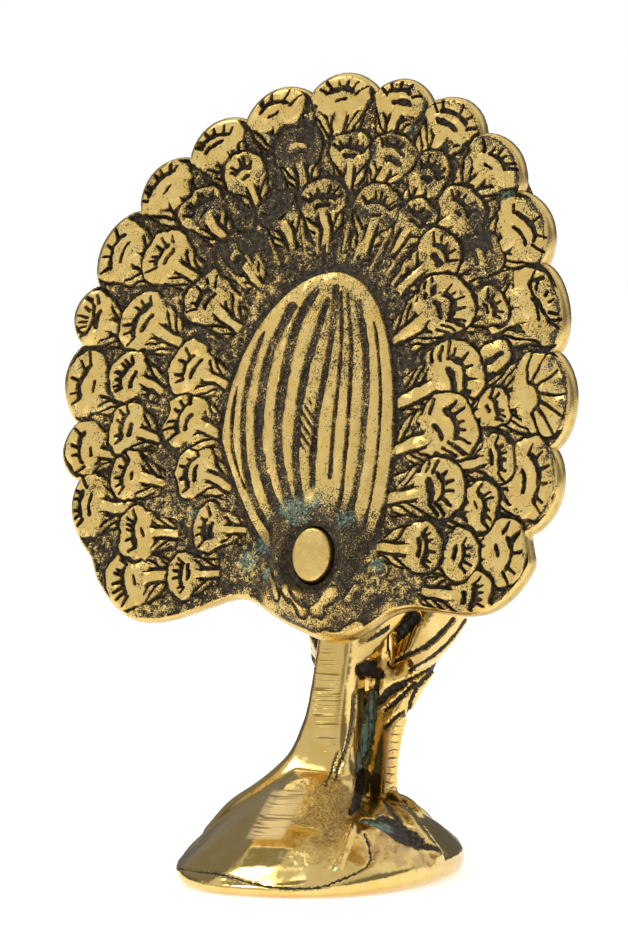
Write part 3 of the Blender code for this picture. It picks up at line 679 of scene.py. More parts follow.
def head():
    r = HEAD_RADIUS
    y = HUB_POINT[1] + HEAD_PLACE[0]
    z = HUB_POINT[2] + HEAD_PLACE[1]
    brow = y + 1.1 * r
    parts = [ball((BIRD_X, y, z), (0.85 * r, 1.15 * r, 0.95 * r), tilt=(-8.0, 0.0, 0.0))]
    parts.append(limb([
        (BIRD_X, y + 0.4 * r, z, 0.62 * r, 0.55 * r), (BIRD_X, brow, z - 0.1 * r, 0.36 * r, 0.34 * r),
        (BIRD_X, brow + 0.5 * BEAK_LENGTH, z - 0.3 * r, 0.24 * r, 0.24 * r),
        (BIRD_X, brow + BEAK_LENGTH, z - 0.6 * r, 0.12 * r, 0.14 * r),
    ]))
    for side in (-1, 1):
        parts.append(ball((BIRD_X + side * 0.74 * r, y + 0.45 * r, z + 0.2 * r),
                          (0.16 * r, 0.2 * r, 0.2 * r)))
    for k in range(CREST_PLUMES):
        lean = math.radians(CREST_SPREAD_DEG * (k / (CREST_PLUMES - 1) - 0.5))
        top = (BIRD_X + math.sin(lean) * CREST_LENGTH, y - 0.7 * r,
               z + 0.8 * r + math.cos(lean) * CREST_LENGTH)
        quill = (PLUME_RADIUS, PLUME_RADIUS)
        parts.append(limb([(BIRD_X, y - 0.13 * r, z + 0.6 * r, *quill), (*top, *quill)]))
        parts.append(ball(top, (1.8 * PLUME_RADIUS, 1.4 * PLUME_RADIUS, 2.1 * PLUME_RADIUS)))
    return parts


def hub_oval(half_width, half_height, h, count=64):
    turn = np.linspace(0.0, 2.0 * math.pi, count, endpoint=False)
    return fan_point(half_width * np.cos(turn), half_height * np.sin(turn), h)


def tenon_and_shoulder():
    seat = -FAN_THICK - SEAT_CLEARANCE
    rings = [
        hub_oval(0.7 * SHOULDER_RADIUS, 0.7 * SHOULDER_RADIUS, seat - SHOULDER_RADIUS),
        hub_oval(SHOULDER_RADIUS, SHOULDER_RADIUS, seat - 0.25 * SHOULDER_RADIUS),
        hub_oval(SHOULDER_RADIUS, SHOULDER_RADIUS, seat),
        hub_oval(TENON_HALF_WIDTH, TENON_HALF_HEIGHT, seat),
    ]
    for turn in np.linspace(0.0, 0.5 * math.pi, 5):
        inset = TENON_BEVEL * (1.0 - math.cos(turn))
        drop = TENON_BEVEL * (1.0 - math.sin(turn))
        rings.append(hub_oval(TENON_HALF_WIDTH - inset, TENON_HALF_HEIGHT - inset, TENON_PROUD - drop))
    return loft(rings)


# The bird's engraving and wear

def engrave(points, strokes, region, mirror=False):
    """Depth, dark and green shares that strokes drawn in the photo leave on the points of a region."""
    seen = points.copy()
    if mirror:
        seen[:, 0] = 2.0 * BIRD_X - seen[:, 0]
    depth, dark, green = (np.zeros(len(points)) for _ in range(3))
    at = np.flatnonzero(region(seen))
    px, py = photo_place(seen[at])
    ragged = 0.26 * ripple(px, py, 11.0, 31) + 0.1 * ripple(px, py, 3.0, 32)
    for half, deep, dark_share, green_share, *line in strokes:
        gap = line_distance(px, py, line) / PIXELS_PER_MM + ragged * min(1.0, 2.5 * half)
        cut = falloff(0.6 * half, 1.25 * half, gap)
        depth[at] = np.maximum(depth[at], deep * cut)
        dark[at] = np.maximum(dark[at], dark_share * falloff(0.8 * half, 1.3 * half, gap))
        green[at] = np.maximum(green[at], green_share * falloff(0.3 * half, 1.0 * half, gap))
    return depth, dark, green


def plumage(points):
    """Rows of small overlapping feathers on the breast, neck and head: depth of their edges."""
    x, y, z = points.T
    axis_y = np.interp(z, [30.0, 38.0, 46.0, 52.0, 58.0, 65.0, 71.0, 78.0], [20, 21, 26, 27, 26, 24, 24, 26])
    turn = np.arctan2(x - BIRD_X, y - axis_y + 1e-6)
    round_size = np.interp(z, [30.0, 45.0, 52.0, 58.0, 66.0, 78.0], [8.6, 8.0, 5.0, 3.8, 2.9, 2.8])
    pitch = np.interp(z, [30.0, 52.0, 66.0, 78.0], [2.5, 2.1, 1.6, 1.3])
    level = z / pitch
    row = np.floor(level)
    depth = np.zeros(len(points))
    for shift in (0.0, 1.0):
        own_row = row + shift
        count = np.round(2.0 * math.pi * round_size / (1.25 * pitch))
        lane = turn / (2.0 * math.pi) * count + 0.5 * (own_row % 2.0)
        across = 2.0 * (lane - np.floor(lane)) - 1.0
        drop = own_row + 0.6 * np.abs(across) ** 2.2 - level
        depth = np.maximum(depth, 0.3 * falloff(0.03, 0.2, np.abs(drop)))
    front = smoothstep(31.0, 35.0, z) * falloff(76.6, 77.6, z)
    away = smoothstep(14.0, 17.0, y)
    return depth * front * away


def bird_region(low, high):
    low, high = np.array(low), np.array(high)
    return lambda p: np.all((p > low) & (p < high), axis=1)


def dress_bird(bird):
    mesh = bird.data
    points, normals = points_of(mesh), normals_of(mesh)
    x, y, z = points.T
    depth, dark, green = (np.zeros(len(points)) for _ in range(3))

    def add(strokes, region, mirror=False):
        for total, part in zip((depth, dark, green), engrave(points, strokes, region, mirror)):
            np.maximum(total, part, out=total)

    for mirror in (False, True):
        add(WING_STROKES, bird_region((4.0, 8.0, 22.0), (19.0, 40.0, 50.0)), mirror)
        add(LEG_STROKES, bird_region((2.5, 8.0, 16.0), (16.0, 34.0, 33.0)), mirror)
    add(POST_STROKES, bird_region((-4.0, -6.0, 8.0), (6.0, 15.5, 28.0)))
    add(MOUND_STROKES, bird_region((-20.0, -25.0, 0.0), (20.0, 16.0, 12.0)))

    # Fainter rings of scale on the legs' far sides
    for side in (-1, 1):
        away = np.hypot(x - BIRD_X - side * LEG_SPREAD, y - LEG_Y - 0.3)
        on_leg = falloff(2.0, 2.6, away) * smoothstep(10.2, 11.0, z) * falloff(18.0, 19.2, z)
        wave = np.abs((z / 1.22 + 0.06 * np.sin(3.0 * x) + 0.5) % 1.0 - 0.5) * 1.22
        ring = falloff(0.12, 0.3, wave) * on_leg * smoothstep(0.5, 1.2, y - LEG_Y)
        np.maximum(depth, 0.25 * ring, out=depth)
        np.maximum(dark, 0.6 * ring, out=dark)

    feathers = plumage(points)
    np.maximum(depth, feathers, out=depth)
    np.maximum(dark, 2.6 * feathers, out=dark)

    px, py = photo_place(points)
    near = smoothstep(-0.05, 0.2, normals @ camera_axes()[0])
    middle_x, middle_y = SCALES_MIDDLE
    scaly = falloff(2.0, 6.0, np.abs(px - middle_x + 0.13 * (py - middle_y))) * (y > 10.0)
    scaly *= smoothstep(*SCALES_BEGIN, py) * falloff(*SCALES_END, py) * near

    def blot(cx, cy, rx, ry, seed, edge):
        wobble = edge * ripple(px, py, 0.35 * min(rx, ry), seed)
        return falloff(0.65, 1.0, np.hypot((px - cx) / rx, (py - cy) / ry) + wobble) * near

    def blots(rows):
        return np.maximum.reduce([strength * blot(*row) for strength, *row in rows])

    rough, pitted = blots(ROUGH_BLOTS), blots(PITTED_BLOTS)
    cx, cy, rx, ry = FILED_OVAL
    filed = falloff(0.75, 1.0, np.hypot((px - cx) / rx, (py - cy) / ry)) * near * (y < 6.0)
    # Mask of the painted highlight on the flat face below the post; file marks are laid there too
    facet_x, facet_y = FACET_TOP
    along = (py - facet_y) / FACET_HEIGHT
    facet_highlight = smoothstep(0.0, 0.08, along) * smoothstep(1.08, 0.95, along)
    facet_highlight *= smoothstep(21.0, 15.0, np.abs(px - facet_x + FACET_SHIFT * along)) * near
    filed = np.maximum(filed, facet_highlight)
    # Painted shade: the post is darkened along its seam under the fan's lower edge
    under_seam = falloff(0.0, 2.6, np.abs(z - 29.5)) * (y < 9.0)
    seam = line_distance(px, py, SEAM_SHADE_LINE) / PIXELS_PER_MM
    dark = np.maximum(dark, 0.9 * falloff(0.15, 0.5, seam) * under_seam * near)
    brown = np.maximum(blots(BROWN_BLOTS), 0.8 * blot(*LEG_STAIN) * (px > LEG_STAIN_FROM))
    brown = np.maximum(brown, 0.55 * smoothstep(4.0, 7.5, y) * falloff(11.5, 13.5, y)
                       * smoothstep(9.0, 11.0, z) * falloff(28.0, 31.0, z))

    low_place = (z < 12.0) & (y < 16.0)
    for half, rise, *line in MOUND_RIDGES:
        gap = line_distance(px, py, line) / PIXELS_PER_MM
        depth -= rise * falloff(0.2 * half, 1.3 * half, gap) * near * low_place
    points -= normals * depth[:, None]
    lumps = ripple(px, py, 4.0, 21)
    pits = soft_noise(px, py, 5.0, 22) > 0.72
    points += normals * (rough * 0.25 * lumps - pitted * 0.2 * pits)[:, None]
    points[:, 2] = np.where(z < 0.02, z, np.maximum(points[:, 2], 0.0))
    put_points(mesh, points)

    pitted = np.maximum(pitted, 0.8 * blot(*LEG_PITS) * (y > 10.0))
    u, v, h = fan_coordinates(points)
    tenon_side = (np.hypot(u, v) < 4.2) & (h > -3.2)
    for name, values in (("dark", dark), ("green", green), ("rough", rough), ("pitted", pitted),
                         ("filed", filed), ("brown", brown), ("tenon", tenon_side.astype(float)),
                         ("scaly", scaly), ("facet_highlight", facet_highlight)):
        put_value(mesh, name, values)


def build_bird():
    shapes = [mound(), apron(), post(), *webs(), body_and_neck(), limb(RUMP)]
    for side in (-1, 1):
        shapes += [leg(side), wing(side)]
        shapes += [toe(side, heading, TOE_LENGTH) for heading in (-28.0, 4.0, 38.0)]
        shapes.append(toe(side, 137.0, 1.5 * TOE_LENGTH))
    shapes += head()
    bird = mesh_object("bird_on_mound", shapes)
    skin = bird.modifiers.new("skin", "REMESH")
    skin.mode = "VOXEL"
    skin.voxel_size = BIRD_VOXEL * MM
    soften = bird.modifiers.new("soften", "SMOOTH")
    soften.factor = 0.5
    soften.iterations = SOFTEN_STEPS
    settle(bird)
    boolean(bird, mesh_object("tenon", [tenon_and_shoulder()]), "UNION")
    bm = bmesh.new()
    bm.from_mesh(bird.data)
    everything = bm.verts[:] + bm.edges[:] + bm.faces[:]
    cut = bmesh.ops.bisect_plane(bm, geom=everything, dist=1e-7, plane_co=(0.0, 0.0, 0.0),
                                 plane_no=(0.0, 0.0, -1.0), clear_outer=True)
    edges = [e for e in cut["geom_cut"] if isinstance(e, bmesh.types.BMEdge)]
    bmesh.ops.contextual_create(bm, geom=edges)
    bmesh.ops.triangulate(bm, faces=bm.faces)
    bmesh.ops.recalc_face_normals(bm, faces=bm.faces)
    bm.to_mesh(bird.data)
    bm.free()
    dress_bird(bird)
    bird.data.shade_smooth()
    bird.data.set_sharp_from_angle(angle=math.radians(BIRD_CREASE_DEG))
    return bird


# The fan's relief

def outline_radius(angle):
    """Reach of the fan's rim from its middle, with a scallop for each outer feather."""
    knots = np.array(sorted(OUTLINE), dtype=float)
    plain = np.zeros_like(angle)
    for shift in np.linspace(-4.0, 4.0, 7):
        plain += np.interp(angle + shift, knots[:, 0], knots[:, 1], period=360.0) / 7.0
    valleys = SCALLOPS_FROM + np.concatenate([[0.0], np.cumsum(SCALLOP_WIDTHS)])
    phase = np.interp(angle, valleys, np.arange(len(valleys)))
    lobe = np.abs(np.sin(math.pi * phase)) ** 0.7
    first, last = valleys[0], valleys[-1]
    fade = smoothstep(first - 5.0, first, angle) * smoothstep(last + 5.0, last, angle)
    fade *= 0.3 + 0.7 * smoothstep(first + 3.0, first + 9.0, angle)
    return plain - RIM_INSET - SCALLOP_DEPTH * (1.0 - lobe) * fade


def shield_measure(u, v):
    upper = (v - SHIELD_WAIST) / (SHIELD_TOP - SHIELD_WAIST)
    lower = (SHIELD_WAIST - v) / (SHIELD_WAIST - SHIELD_FOOT)
    middle = SHIELD_MIDDLE + SHIELD_APEX_SHIFT * np.clip(upper, 0.0, 1.2) ** 2
    # The lower left side tapers sooner
    taper = np.sqrt(np.clip(lower, 0.0, 4.0) / 0.72) - lower
    lower = lower + np.maximum(taper, 0.0) * smoothstep(-3.0, -6.5, u) * (lower > 0.0)
    return np.hypot((u - middle) / SHIELD_HALF_WIDTH, np.maximum(upper, lower))


def arc_gap(p, q, centre_q, radius, spread):
    """Distance to an arc that bulges outwards, in shares of the feather's half width."""
    turn = np.clip(np.arctan2(p, q - centre_q), -spread, spread)
    return np.hypot(p - radius * np.sin(turn), q - centre_q - radius * np.cos(turn))


def groove(h, gap, half, bottom, wall=0.17):
    """Cuts h down to bottom where gap is under half."""
    return np.minimum(h, bottom + (0.6 - bottom) * smoothstep(half, half + wall, gap))


def lash(h, p, q, size, turn, near, far, half, bottom=-0.55):
    """Cuts a stroke that runs outwards from a point below the head's middle and thins towards its end."""
    c, s = math.cos(turn), math.sin(turn)
    along = p * s + (q + 0.45) * c
    across = np.abs(p * c - (q + 0.45) * s)
    t = np.clip((along - near) / (far - near), 0.0, 1.0)
    over = np.maximum(np.maximum(near - along, along - far), 0.0)
    gap = np.hypot(across, over) * size
    return groove(h, gap - half * (1.15 - 0.6 * t), 0.0, bottom, 0.15)


def eye_face(p, q, size, kind, rise, rng):
    """Engraving on a feather's rounded head, in mm over the buffed plane. p is across and q outwards."""
    h = np.full(p.shape, HEAD_LIFT * rise)
    p = p + rng.uniform(-0.12, 0.12) * q
    q = q + rng.uniform(-0.06, 0.06)
    uneven = 0.22 * ripple(p * size, q * size, 0.5, int(100 * rng.rand()))
    if kind in (TWO_ARCS, DOTTED, CUPPED, BARBED):
        reach = 0.71 + rng.uniform(-0.06, 0.06)
        spread = rng.uniform(0.62, 0.85)
        count = rng.randint(5, 8)
        for k in range(count):
            turn = (2.0 * k / (count - 1) - 1.0) * (spread + 0.12) + rng.uniform(-0.08, 0.08)
            far = reach + 0.37 + rng.uniform(-0.1, 0.12)
            if rng.rand() < 0.9:
                h = lash(h, p, q, size, turn, reach, far, 0.11 + 0.07 * rng.rand())
        if kind != CUPPED:
            gap = arc_gap(p, q, -0.45, reach, spread * rng.uniform(0.75, 1.0)) * size + uneven
            h = groove(h, gap, 0.16 + 0.18 * rng.rand(), -0.6, 0.16)
    if kind in (TWO_ARCS, CUPPED, BARBED):
        shift = rng.uniform(-0.12, 0.12)
        radius = 0.74 + rng.uniform(-0.06, 0.06)
        gap = arc_gap(p - shift, q, -0.95, radius, rng.uniform(0.3, 0.46)) * size + uneven
        h = groove(h, gap, 0.18 + 0.14 * rng.rand(), -0.6, 0.16)
    if kind == DOTTED:
        gap = line_distance(p, q, ((-0.14, -0.3), (0.12, -0.22))) * size + uneven
        h = groove(h, gap, 0.16, -0.55, 0.16)
    if kind == CUPPED:
        line = ((-0.5, 0.6), (-0.62, 0.1), (-0.3, -0.05), (0.2, 0.0), (0.55, 0.2), (0.66, 0.55))
        h = groove(h, line_distance(p, q, line) * size + uneven, 0.16, -0.6)
    if kind == RINGED:
        h = groove(h, np.abs(np.hypot(p, q) - 0.62) * size + uneven, 0.2, -0.45, 0.4)
        gold = arc_gap(p, q, -0.45, 0.5, 0.5) * size + uneven
        h = np.maximum(h, 0.5 - 0.9 * smoothstep(0.18, 0.5, gold))
        h = groove(h, arc_gap(p, q, -0.7, 0.5, 0.4) * size + uneven, 0.2, -0.5, 0.2)
    if kind == RAYED:
        for turn in np.radians([-78, -50, -25, 2, 28, 54, 80]):
            turn += rng.uniform(-0.07, 0.07)
            h = lash(h, p, q, size, turn, 0.42, 1.2 + rng.uniform(-0.08, 0.05), 0.14)
        h = groove(h, arc_gap(p, q, -0.45, 0.36, 1.2) * size + uneven, 0.17, -0.6)
    if kind == PLAIN:
        h = groove(h, line_distance(p, q, ((0.0, 0.45), (0.1, -0.3))) * size, 0.24, -0.45)
    if kind == BARBED:
        for k in range(3):
            line = ((0.5 + 0.04 * k, -0.1 - 0.24 * k), (0.92, 0.2 - 0.26 * k))
            for side in (-1, 1):
                if rng.rand() < 0.85:
                    h = groove(h, line_distance(side * p, q, line) * size, 0.09 + 0.05 * rng.rand(), -0.45)
    return h


def feather(h, u, v, place, rng):
    """Lays one petal-shaped feather with its head, stem and barbs over the relief h."""
    angle, distance, size, length, rise, kind = place
    eu = FAN_CENTRE[0] + math.sin(math.radians(angle)) * distance
    ev = FAN_CENTRE[1] + math.cos(math.radians(angle)) * distance
    root_v = min(max(0.6 * ev, -2.0), 0.7 * SHIELD_TOP)
    heading = math.atan2(eu - FAN_CENTRE[0], ev - root_v) + rng.uniform(-0.08, 0.08)
    if distance < 30.0:
        rise -= 0.13 * max(0.0, math.cos(math.radians(angle)))
    at = np.flatnonzero(np.hypot(u - eu, v - ev) < 3.6 * size * max(1.0, length))
    du, dv = u[at] - eu, v[at] - ev
    out = du * math.sin(heading) + dv * math.cos(heading)
    side = du * math.cos(heading) - dv * math.sin(heading)
    p, q = side / size, out / (size * length)
    below = -q
    own = h[at]

    # Outline: a rounded head that narrows towards the root
    seed = int(angle + 400) % 61
    wobble = 0.3 * ripple(side, out, 1.5, seed) + 0.2 * ripple(side, out, 0.55, seed + 3)
    lobe = (np.abs(p) ** 2.2 + np.abs(np.where(q > 0.0, q / 0.92, q / 0.85)) ** 2.2) ** (1.0 / 2.2)
    head_edge = (lobe - 1.0) * size * min(1.0, length) + wobble
    head_edge += 0.7 * ripple(side, out, 0.7, seed + 2) * smoothstep(0.1, 0.6, below)
    half_root = 1.04 - 0.24 * np.clip(below, 0.0, 2.4)
    body_edge = np.maximum((np.abs(p) - half_root) * size, (below - FEATHER_REACH) * size) + wobble
    body_edge = np.where(below > 0.0, body_edge, 9.0)
    patchy = soft_noise(side, out, 1.7, seed + 5)

    # Narrowing part: a grainy ground with a stem, and slanted barbs beside it
    stem_half = 0.15 * size * (1.1 - 0.2 * np.clip(below - 0.6, 0.0, 2.0)) + 0.06
    off_stem = np.abs(side) - stem_half + wobble * 0.4
    slant = 0.62 * out - 0.78 * np.abs(side) + 0.5 * wobble
    barb = 0.5 + 0.5 * np.cos(2.0 * math.pi * slant / (0.78 + 0.14 * rng.rand()) + 6.0 * rng.rand())
    ends = smoothstep(0.0, 0.2, off_stem) * smoothstep(0.05, 0.25, (half_root - np.abs(p)) * size)
    long_barbs = 1.35 + 0.7 * patchy
    barbed = smoothstep(long_barbs + 0.15, long_barbs, below) * smoothstep(0.12, 0.22, patchy)
    body = blend(own, -0.7 + 1.7 * barb ** 0.8 * ends, barbed)
    body = np.minimum(body, -0.5 + 0.6 * smoothstep(0.0, 0.3, np.abs(body_edge + 0.1)))
    body = np.minimum(body, -0.6 + 0.75 * smoothstep(0.22, 0.45, np.abs(off_stem - 0.1)))
    stem = falloff(-0.1, 0.1, off_stem)
    body = blend(body, STEM_LEVEL + rise, stem)
    inside = falloff(-0.1, 0.15, body_edge)
    own = blend(own, body, inside)

    # Head: a dark moat round it, darker beside the neck, and the engraved face
    neck = smoothstep(0.5, 0.8, below) * falloff(stem_half, stem_half + 0.3, np.abs(side))
    width = 0.04 + 0.34 * patchy + 0.1 * smoothstep(0.0, 0.8, below)
    moat = falloff(width, width + 0.34, head_edge) * (1.0 - neck)
    moat = moat * (0.6 + 0.4 * soft_noise(side, out, 1.1, seed + 11))
    moat = moat * (1.0 - 0.85 * smoothstep(0.1, 0.6, below))
    own = own - (own + 0.85 * GROUND_DEPTH) * moat
    face = eye_face(p, q, size, kind, rise, rng)
    face = face - 0.4 * smoothstep(0.5, 0.8, soft_noise(side, out, 1.3, seed + 7))
    inside = falloff(-0.08, 0.14, head_edge) * (1.0 - 0.9 * neck)
    h[at] = blend(own, face, inside)


def fan_relief(u, v):
    """Height of the fan's back over the buffed plane, and how far it stands over what buffing reaches."""
    rng = np.random.RandomState(FAN_SEED)
    grain = ripple(u, v, 0.75, 3)
    bumps = 0.4 * grain + 0.45 * ripple(u, v, 0.33, 4)
    h = GROUND_LEVEL + bumps - 0.1 * smoothstep(8.0, 25.0, v)
    # The cast lines wander a little
    wu = u + 0.6 * ripple(u, v, 2.1, 71) + 0.2 * ripple(u, v, 0.8, 72)
    wv = v + 0.6 * ripple(u, v, 2.1, 73) + 0.2 * ripple(u, v, 0.8, 74)
    for row in (OUTER_EYES, SECOND_EYES, THIRD_EYES):
        for place in row:
            feather(h, wu, wv, place, rng)
    # Thin quills on the grainy ground round the shield's point
    for angle in np.linspace(-58.0, 58.0, 19):
        turn = math.radians(angle + rng.uniform(-2.0, 2.0))
        start, end = 13.6 + 1.6 * rng.rand(), 17.0 + 2.0 * rng.rand()
        line = [(FAN_CENTRE[0] + r * math.sin(turn), FAN_CENTRE[1] + r * math.cos(turn))
                for r in (start, end)]
        gap = line_distance(u, v, line)
        h = np.maximum(h, 0.05 - 0.9 * smoothstep(0.1, 0.45, gap))
    # The buffing reached some places more than others
    h += 0.3 * ripple(u, v, 5.5, 51) + 0.2 * bumps
    worn = shield_relief(h, u, v, grain)

    # Hub: a boss with a hollow round the tenon, chiselled marks and a buffed lower lip
    hub = np.hypot(u + 0.2, 0.9 * (v + 1.5)) / BOSS_RADIUS
    on_hub = falloff(0.55, 1.05, hub)
    lower = smoothstep(-0.5, -3.0, v)
    coarse = soft_noise(u, v, 1.6, 41) - 0.45
    worn = blend(worn, -0.34 + 0.8 * coarse * lower + 0.3 * grain, on_hub)
    below = smoothstep(-3.4, -5.0, v) * falloff(9.0, 12.0, np.abs(u - 0.6))
    worn = blend(worn, -0.25 + 0.9 * coarse + 0.2 * grain, below)
    for half, *line in HUB_RIDGES:
        gap = line_distance(u, v, line) + 0.6 * ripple(u, v, 0.9, 43)
        worn = np.minimum(worn, -0.4 + 1.3 * smoothstep(half + 0.35, half + 0.8, gap))
        worn = np.maximum(worn, 0.22 - 0.9 * smoothstep(half - 0.1, half + 0.3, gap))
    height = np.minimum(worn, BUFFED_LEVEL)
    measure = shield_measure(u, v)
    height = height + SHIELD_CROWN * np.clip(1.0 - measure ** 2, 0.0, 1.0)
    boss = (BOSS_RISE + 0.5 * GROUND_DEPTH) * falloff(0.35, 1.25, hub)
    around = np.hypot(u / (TENON_HALF_WIDTH + 1.3), v / (TENON_HALF_HEIGHT + 1.3))
    hollow = falloff(0.85, 1.15, around)
    height = height + boss
    height = blend(height, np.minimum(height, HOLLOW_LEVEL), hollow)
    ring = falloff(0.95, 1.12, np.hypot(u / (TENON_HALF_WIDTH + 1.0), v / (TENON_HALF_HEIGHT + 1.0)))
    worn = blend(worn, -0.55, ring)
    return height, worn


def shield_relief(h, u, v, grain):
    """Lays the long shield of back feathers, a rimmed oval of ribs, over the relief h."""
    measure = shield_measure(u, v)
    wobble = 0.22 * ripple(u, v, 0.8, 61) + 0.12 * grain
    inner = 0.46 + 0.3 * grain
    upper_middle = smoothstep(16.0, 24.0, v) * falloff(2.5, 5.0, np.abs(u - 0.6))
    inner = inner - 0.4 * upper_middle
    for half, *line in SHIELD_GROOVES:
        gap = line_distance(u, v, line) + wobble * min(1.0, 2.0 * half)
        bottom = -0.22 - 0.4 * soft_noise(u, v, 1.5, 63)
        inner = np.minimum(inner, bottom + (0.6 - bottom) * smoothstep(0.7 * half, 1.25 * half + 0.12, gap))
    middle = falloff(0.2, 1.0, np.hypot((u + 2.2) / 1.6, (v - 15.5) / 6.0))
    hatch = 0.5 + 0.5 * np.cos(2.0 * math.pi * (0.75 * u + 0.6 * v) / 0.75)
    inner = inner - 0.9 * middle * hatch
    fade = smoothstep(10.5, 4.0, v + 0.05 * (u + 1.0) ** 2)
    inner = blend(inner, -0.5 + 0.4 * grain, fade)
    band = 0.34 - 1.1 * smoothstep(6.0, 0.5, v + 0.02 * (u - 4.5) ** 2)
    inner = np.where(measure > 0.93, np.maximum(inner, band), inner)
    inside = falloff(0.985, 1.012, measure)
    moat = falloff(1.03, 1.075, measure)
    worn = h - (h + 0.8 * GROUND_DEPTH) * moat * (0.5 + 0.5 * soft_noise(u, v, 1.9, 65))
    return blend(worn, inner, inside)


def fan_share(u, v):
    du, dv = u - FAN_CENTRE[0], v - FAN_CENTRE[1]
    reach = outline_radius(np.degrees(np.arctan2(du, dv)))
    return np.hypot(du, dv) / reach, reach


# Rows of the rounded rim from back to front: inset from the rim and level
RIM_PROFILE = (
    (0.5, -0.2), (0.26, -0.42), (0.08, -0.95), (0.0, -1.6), (0.06, -2.3), (0.3, -2.95), (0.55, -3.2),
)


def fan_grid(cells, inset):
    line = np.linspace(-1.0, 1.0, cells + 1)
    a, b = np.meshgrid(line, line, indexing="ij")
    x = a * np.sqrt(1.0 - 0.5 * b ** 2)
    y = b * np.sqrt(1.0 - 0.5 * a ** 2)
    reach = outline_radius(np.degrees(np.arctan2(x, y))) - inset
    return (FAN_CENTRE[0] + reach * x).ravel(), (FAN_CENTRE[1] + reach * y).ravel()


def grid_faces(cells, start, flip):
    i, j = np.meshgrid(np.arange(cells), np.arange(cells), indexing="ij")
    a = (i * (cells + 1) + j).ravel()
    quads = np.stack([a, a + cells + 1, a + cells + 2, a + 1], axis=1)
    return start + (quads[:, ::-1] if flip else quads)


def grid_rim(cells):
    """Rim of a grid in order round it, as indices."""
    n = cells
    i = np.concatenate([np.arange(n), np.full(n, n), np.arange(n, 0, -1), np.zeros(n, dtype=int)])
    j = np.concatenate([np.zeros(n, dtype=int), np.arange(n), np.full(n, n), np.arange(n, 0, -1)])
    return i * (n + 1) + j


def build_fan():
    fine, coarse = FAN_CELLS, FAN_CELLS // FRONT_STEP
    u, v = fan_grid(fine, RIM_PROFILE[0][0])
    height, _ = fan_relief(u, v)
    share, reach = fan_share(u, v)
    edge = np.clip((1.0 - share) * reach - RIM_PROFILE[0][0], 0.0, 0.35) / 0.35
    height = blend(RIM_PROFILE[0][1], height, edge)
    verts = [fan_point(u, v, height)]
    uf, vf = fan_grid(coarse, RIM_PROFILE[-1][0])
    front_height, _ = fan_relief(uf, vf)
    share, reach = fan_share(uf, vf)
    edge = np.clip((1.0 - share) * reach - RIM_PROFILE[-1][0], 0.0, 0.6) / 0.6
    front = -FAN_THICK - 0.4 * front_height.clip(-GROUND_DEPTH, 0.0) * edge
    front = blend(RIM_PROFILE[-1][1], front, edge)
    verts.append(fan_point(uf, vf, front))
    first_front = len(u)
    faces = [grid_faces(fine, 0, False), grid_faces(coarse, first_front, True)]

    # Rounded rim: rows at the fine step, the last one joined to every fourth point of the row before
    fine_rim = grid_rim(fine)
    ru, rv = u[fine_rim], v[fine_rim]
    angle = np.arctan2(ru - FAN_CENTRE[0], rv - FAN_CENTRE[1])
    full = outline_radius(np.degrees(angle))
    rows = [fine_rim]
    start = first_front + len(uf)
    for inset, level in RIM_PROFILE[1:-1]:
        verts.append(fan_point(FAN_CENTRE[0] + (full - inset) * np.sin(angle),
                               FAN_CENTRE[1] + (full - inset) * np.cos(angle), level))
        rows.append(start + np.arange(len(fine_rim)))
        start += len(fine_rim)
    for upper, lower in zip(rows, rows[1:]):
        faces.append(np.stack([np.roll(upper, -1), upper, lower, np.roll(lower, -1)], axis=1))
    quads = np.concatenate(faces)
    tris = [quads[:, (0, 1, 2)], quads[:, (0, 2, 3)]]
    last = rows[-1]
    front_rim = first_front + grid_rim(coarse)
    for k in range(FRONT_STEP):
        upper = last[k::FRONT_STEP]
        after = np.roll(last, -1)[k::FRONT_STEP]
        tris.append(np.stack([after, upper, front_rim], axis=1))
    ahead = np.roll(last, -FRONT_STEP)[::FRONT_STEP]
    tris.append(np.stack([ahead, front_rim, np.roll(front_rim, -1)], axis=1))
    fan = quick_mesh("train", np.concatenate(verts), np.concatenate(tris))
    thin = fan.modifiers.new("thin", "DECIMATE")
    thin.ratio = min(1.0, FAN_FACES / len(fan.data.polygons))
    settle(fan)
    hole = [hub_oval(TENON_HALF_WIDTH + TENON_CLEARANCE, TENON_HALF_HEIGHT + TENON_CLEARANCE, level)
            for level in (-3.0 * FAN_THICK, 3.0 * FAN_THICK)]
    boolean(fan, mesh_object("hole", [loft(hole)]), "DIFFERENCE")
    dress_fan(fan)
    fan.data.shade_smooth()
    fan.data.set_sharp_from_angle(angle=math.radians(FAN_CREASE_DEG))
    return fan


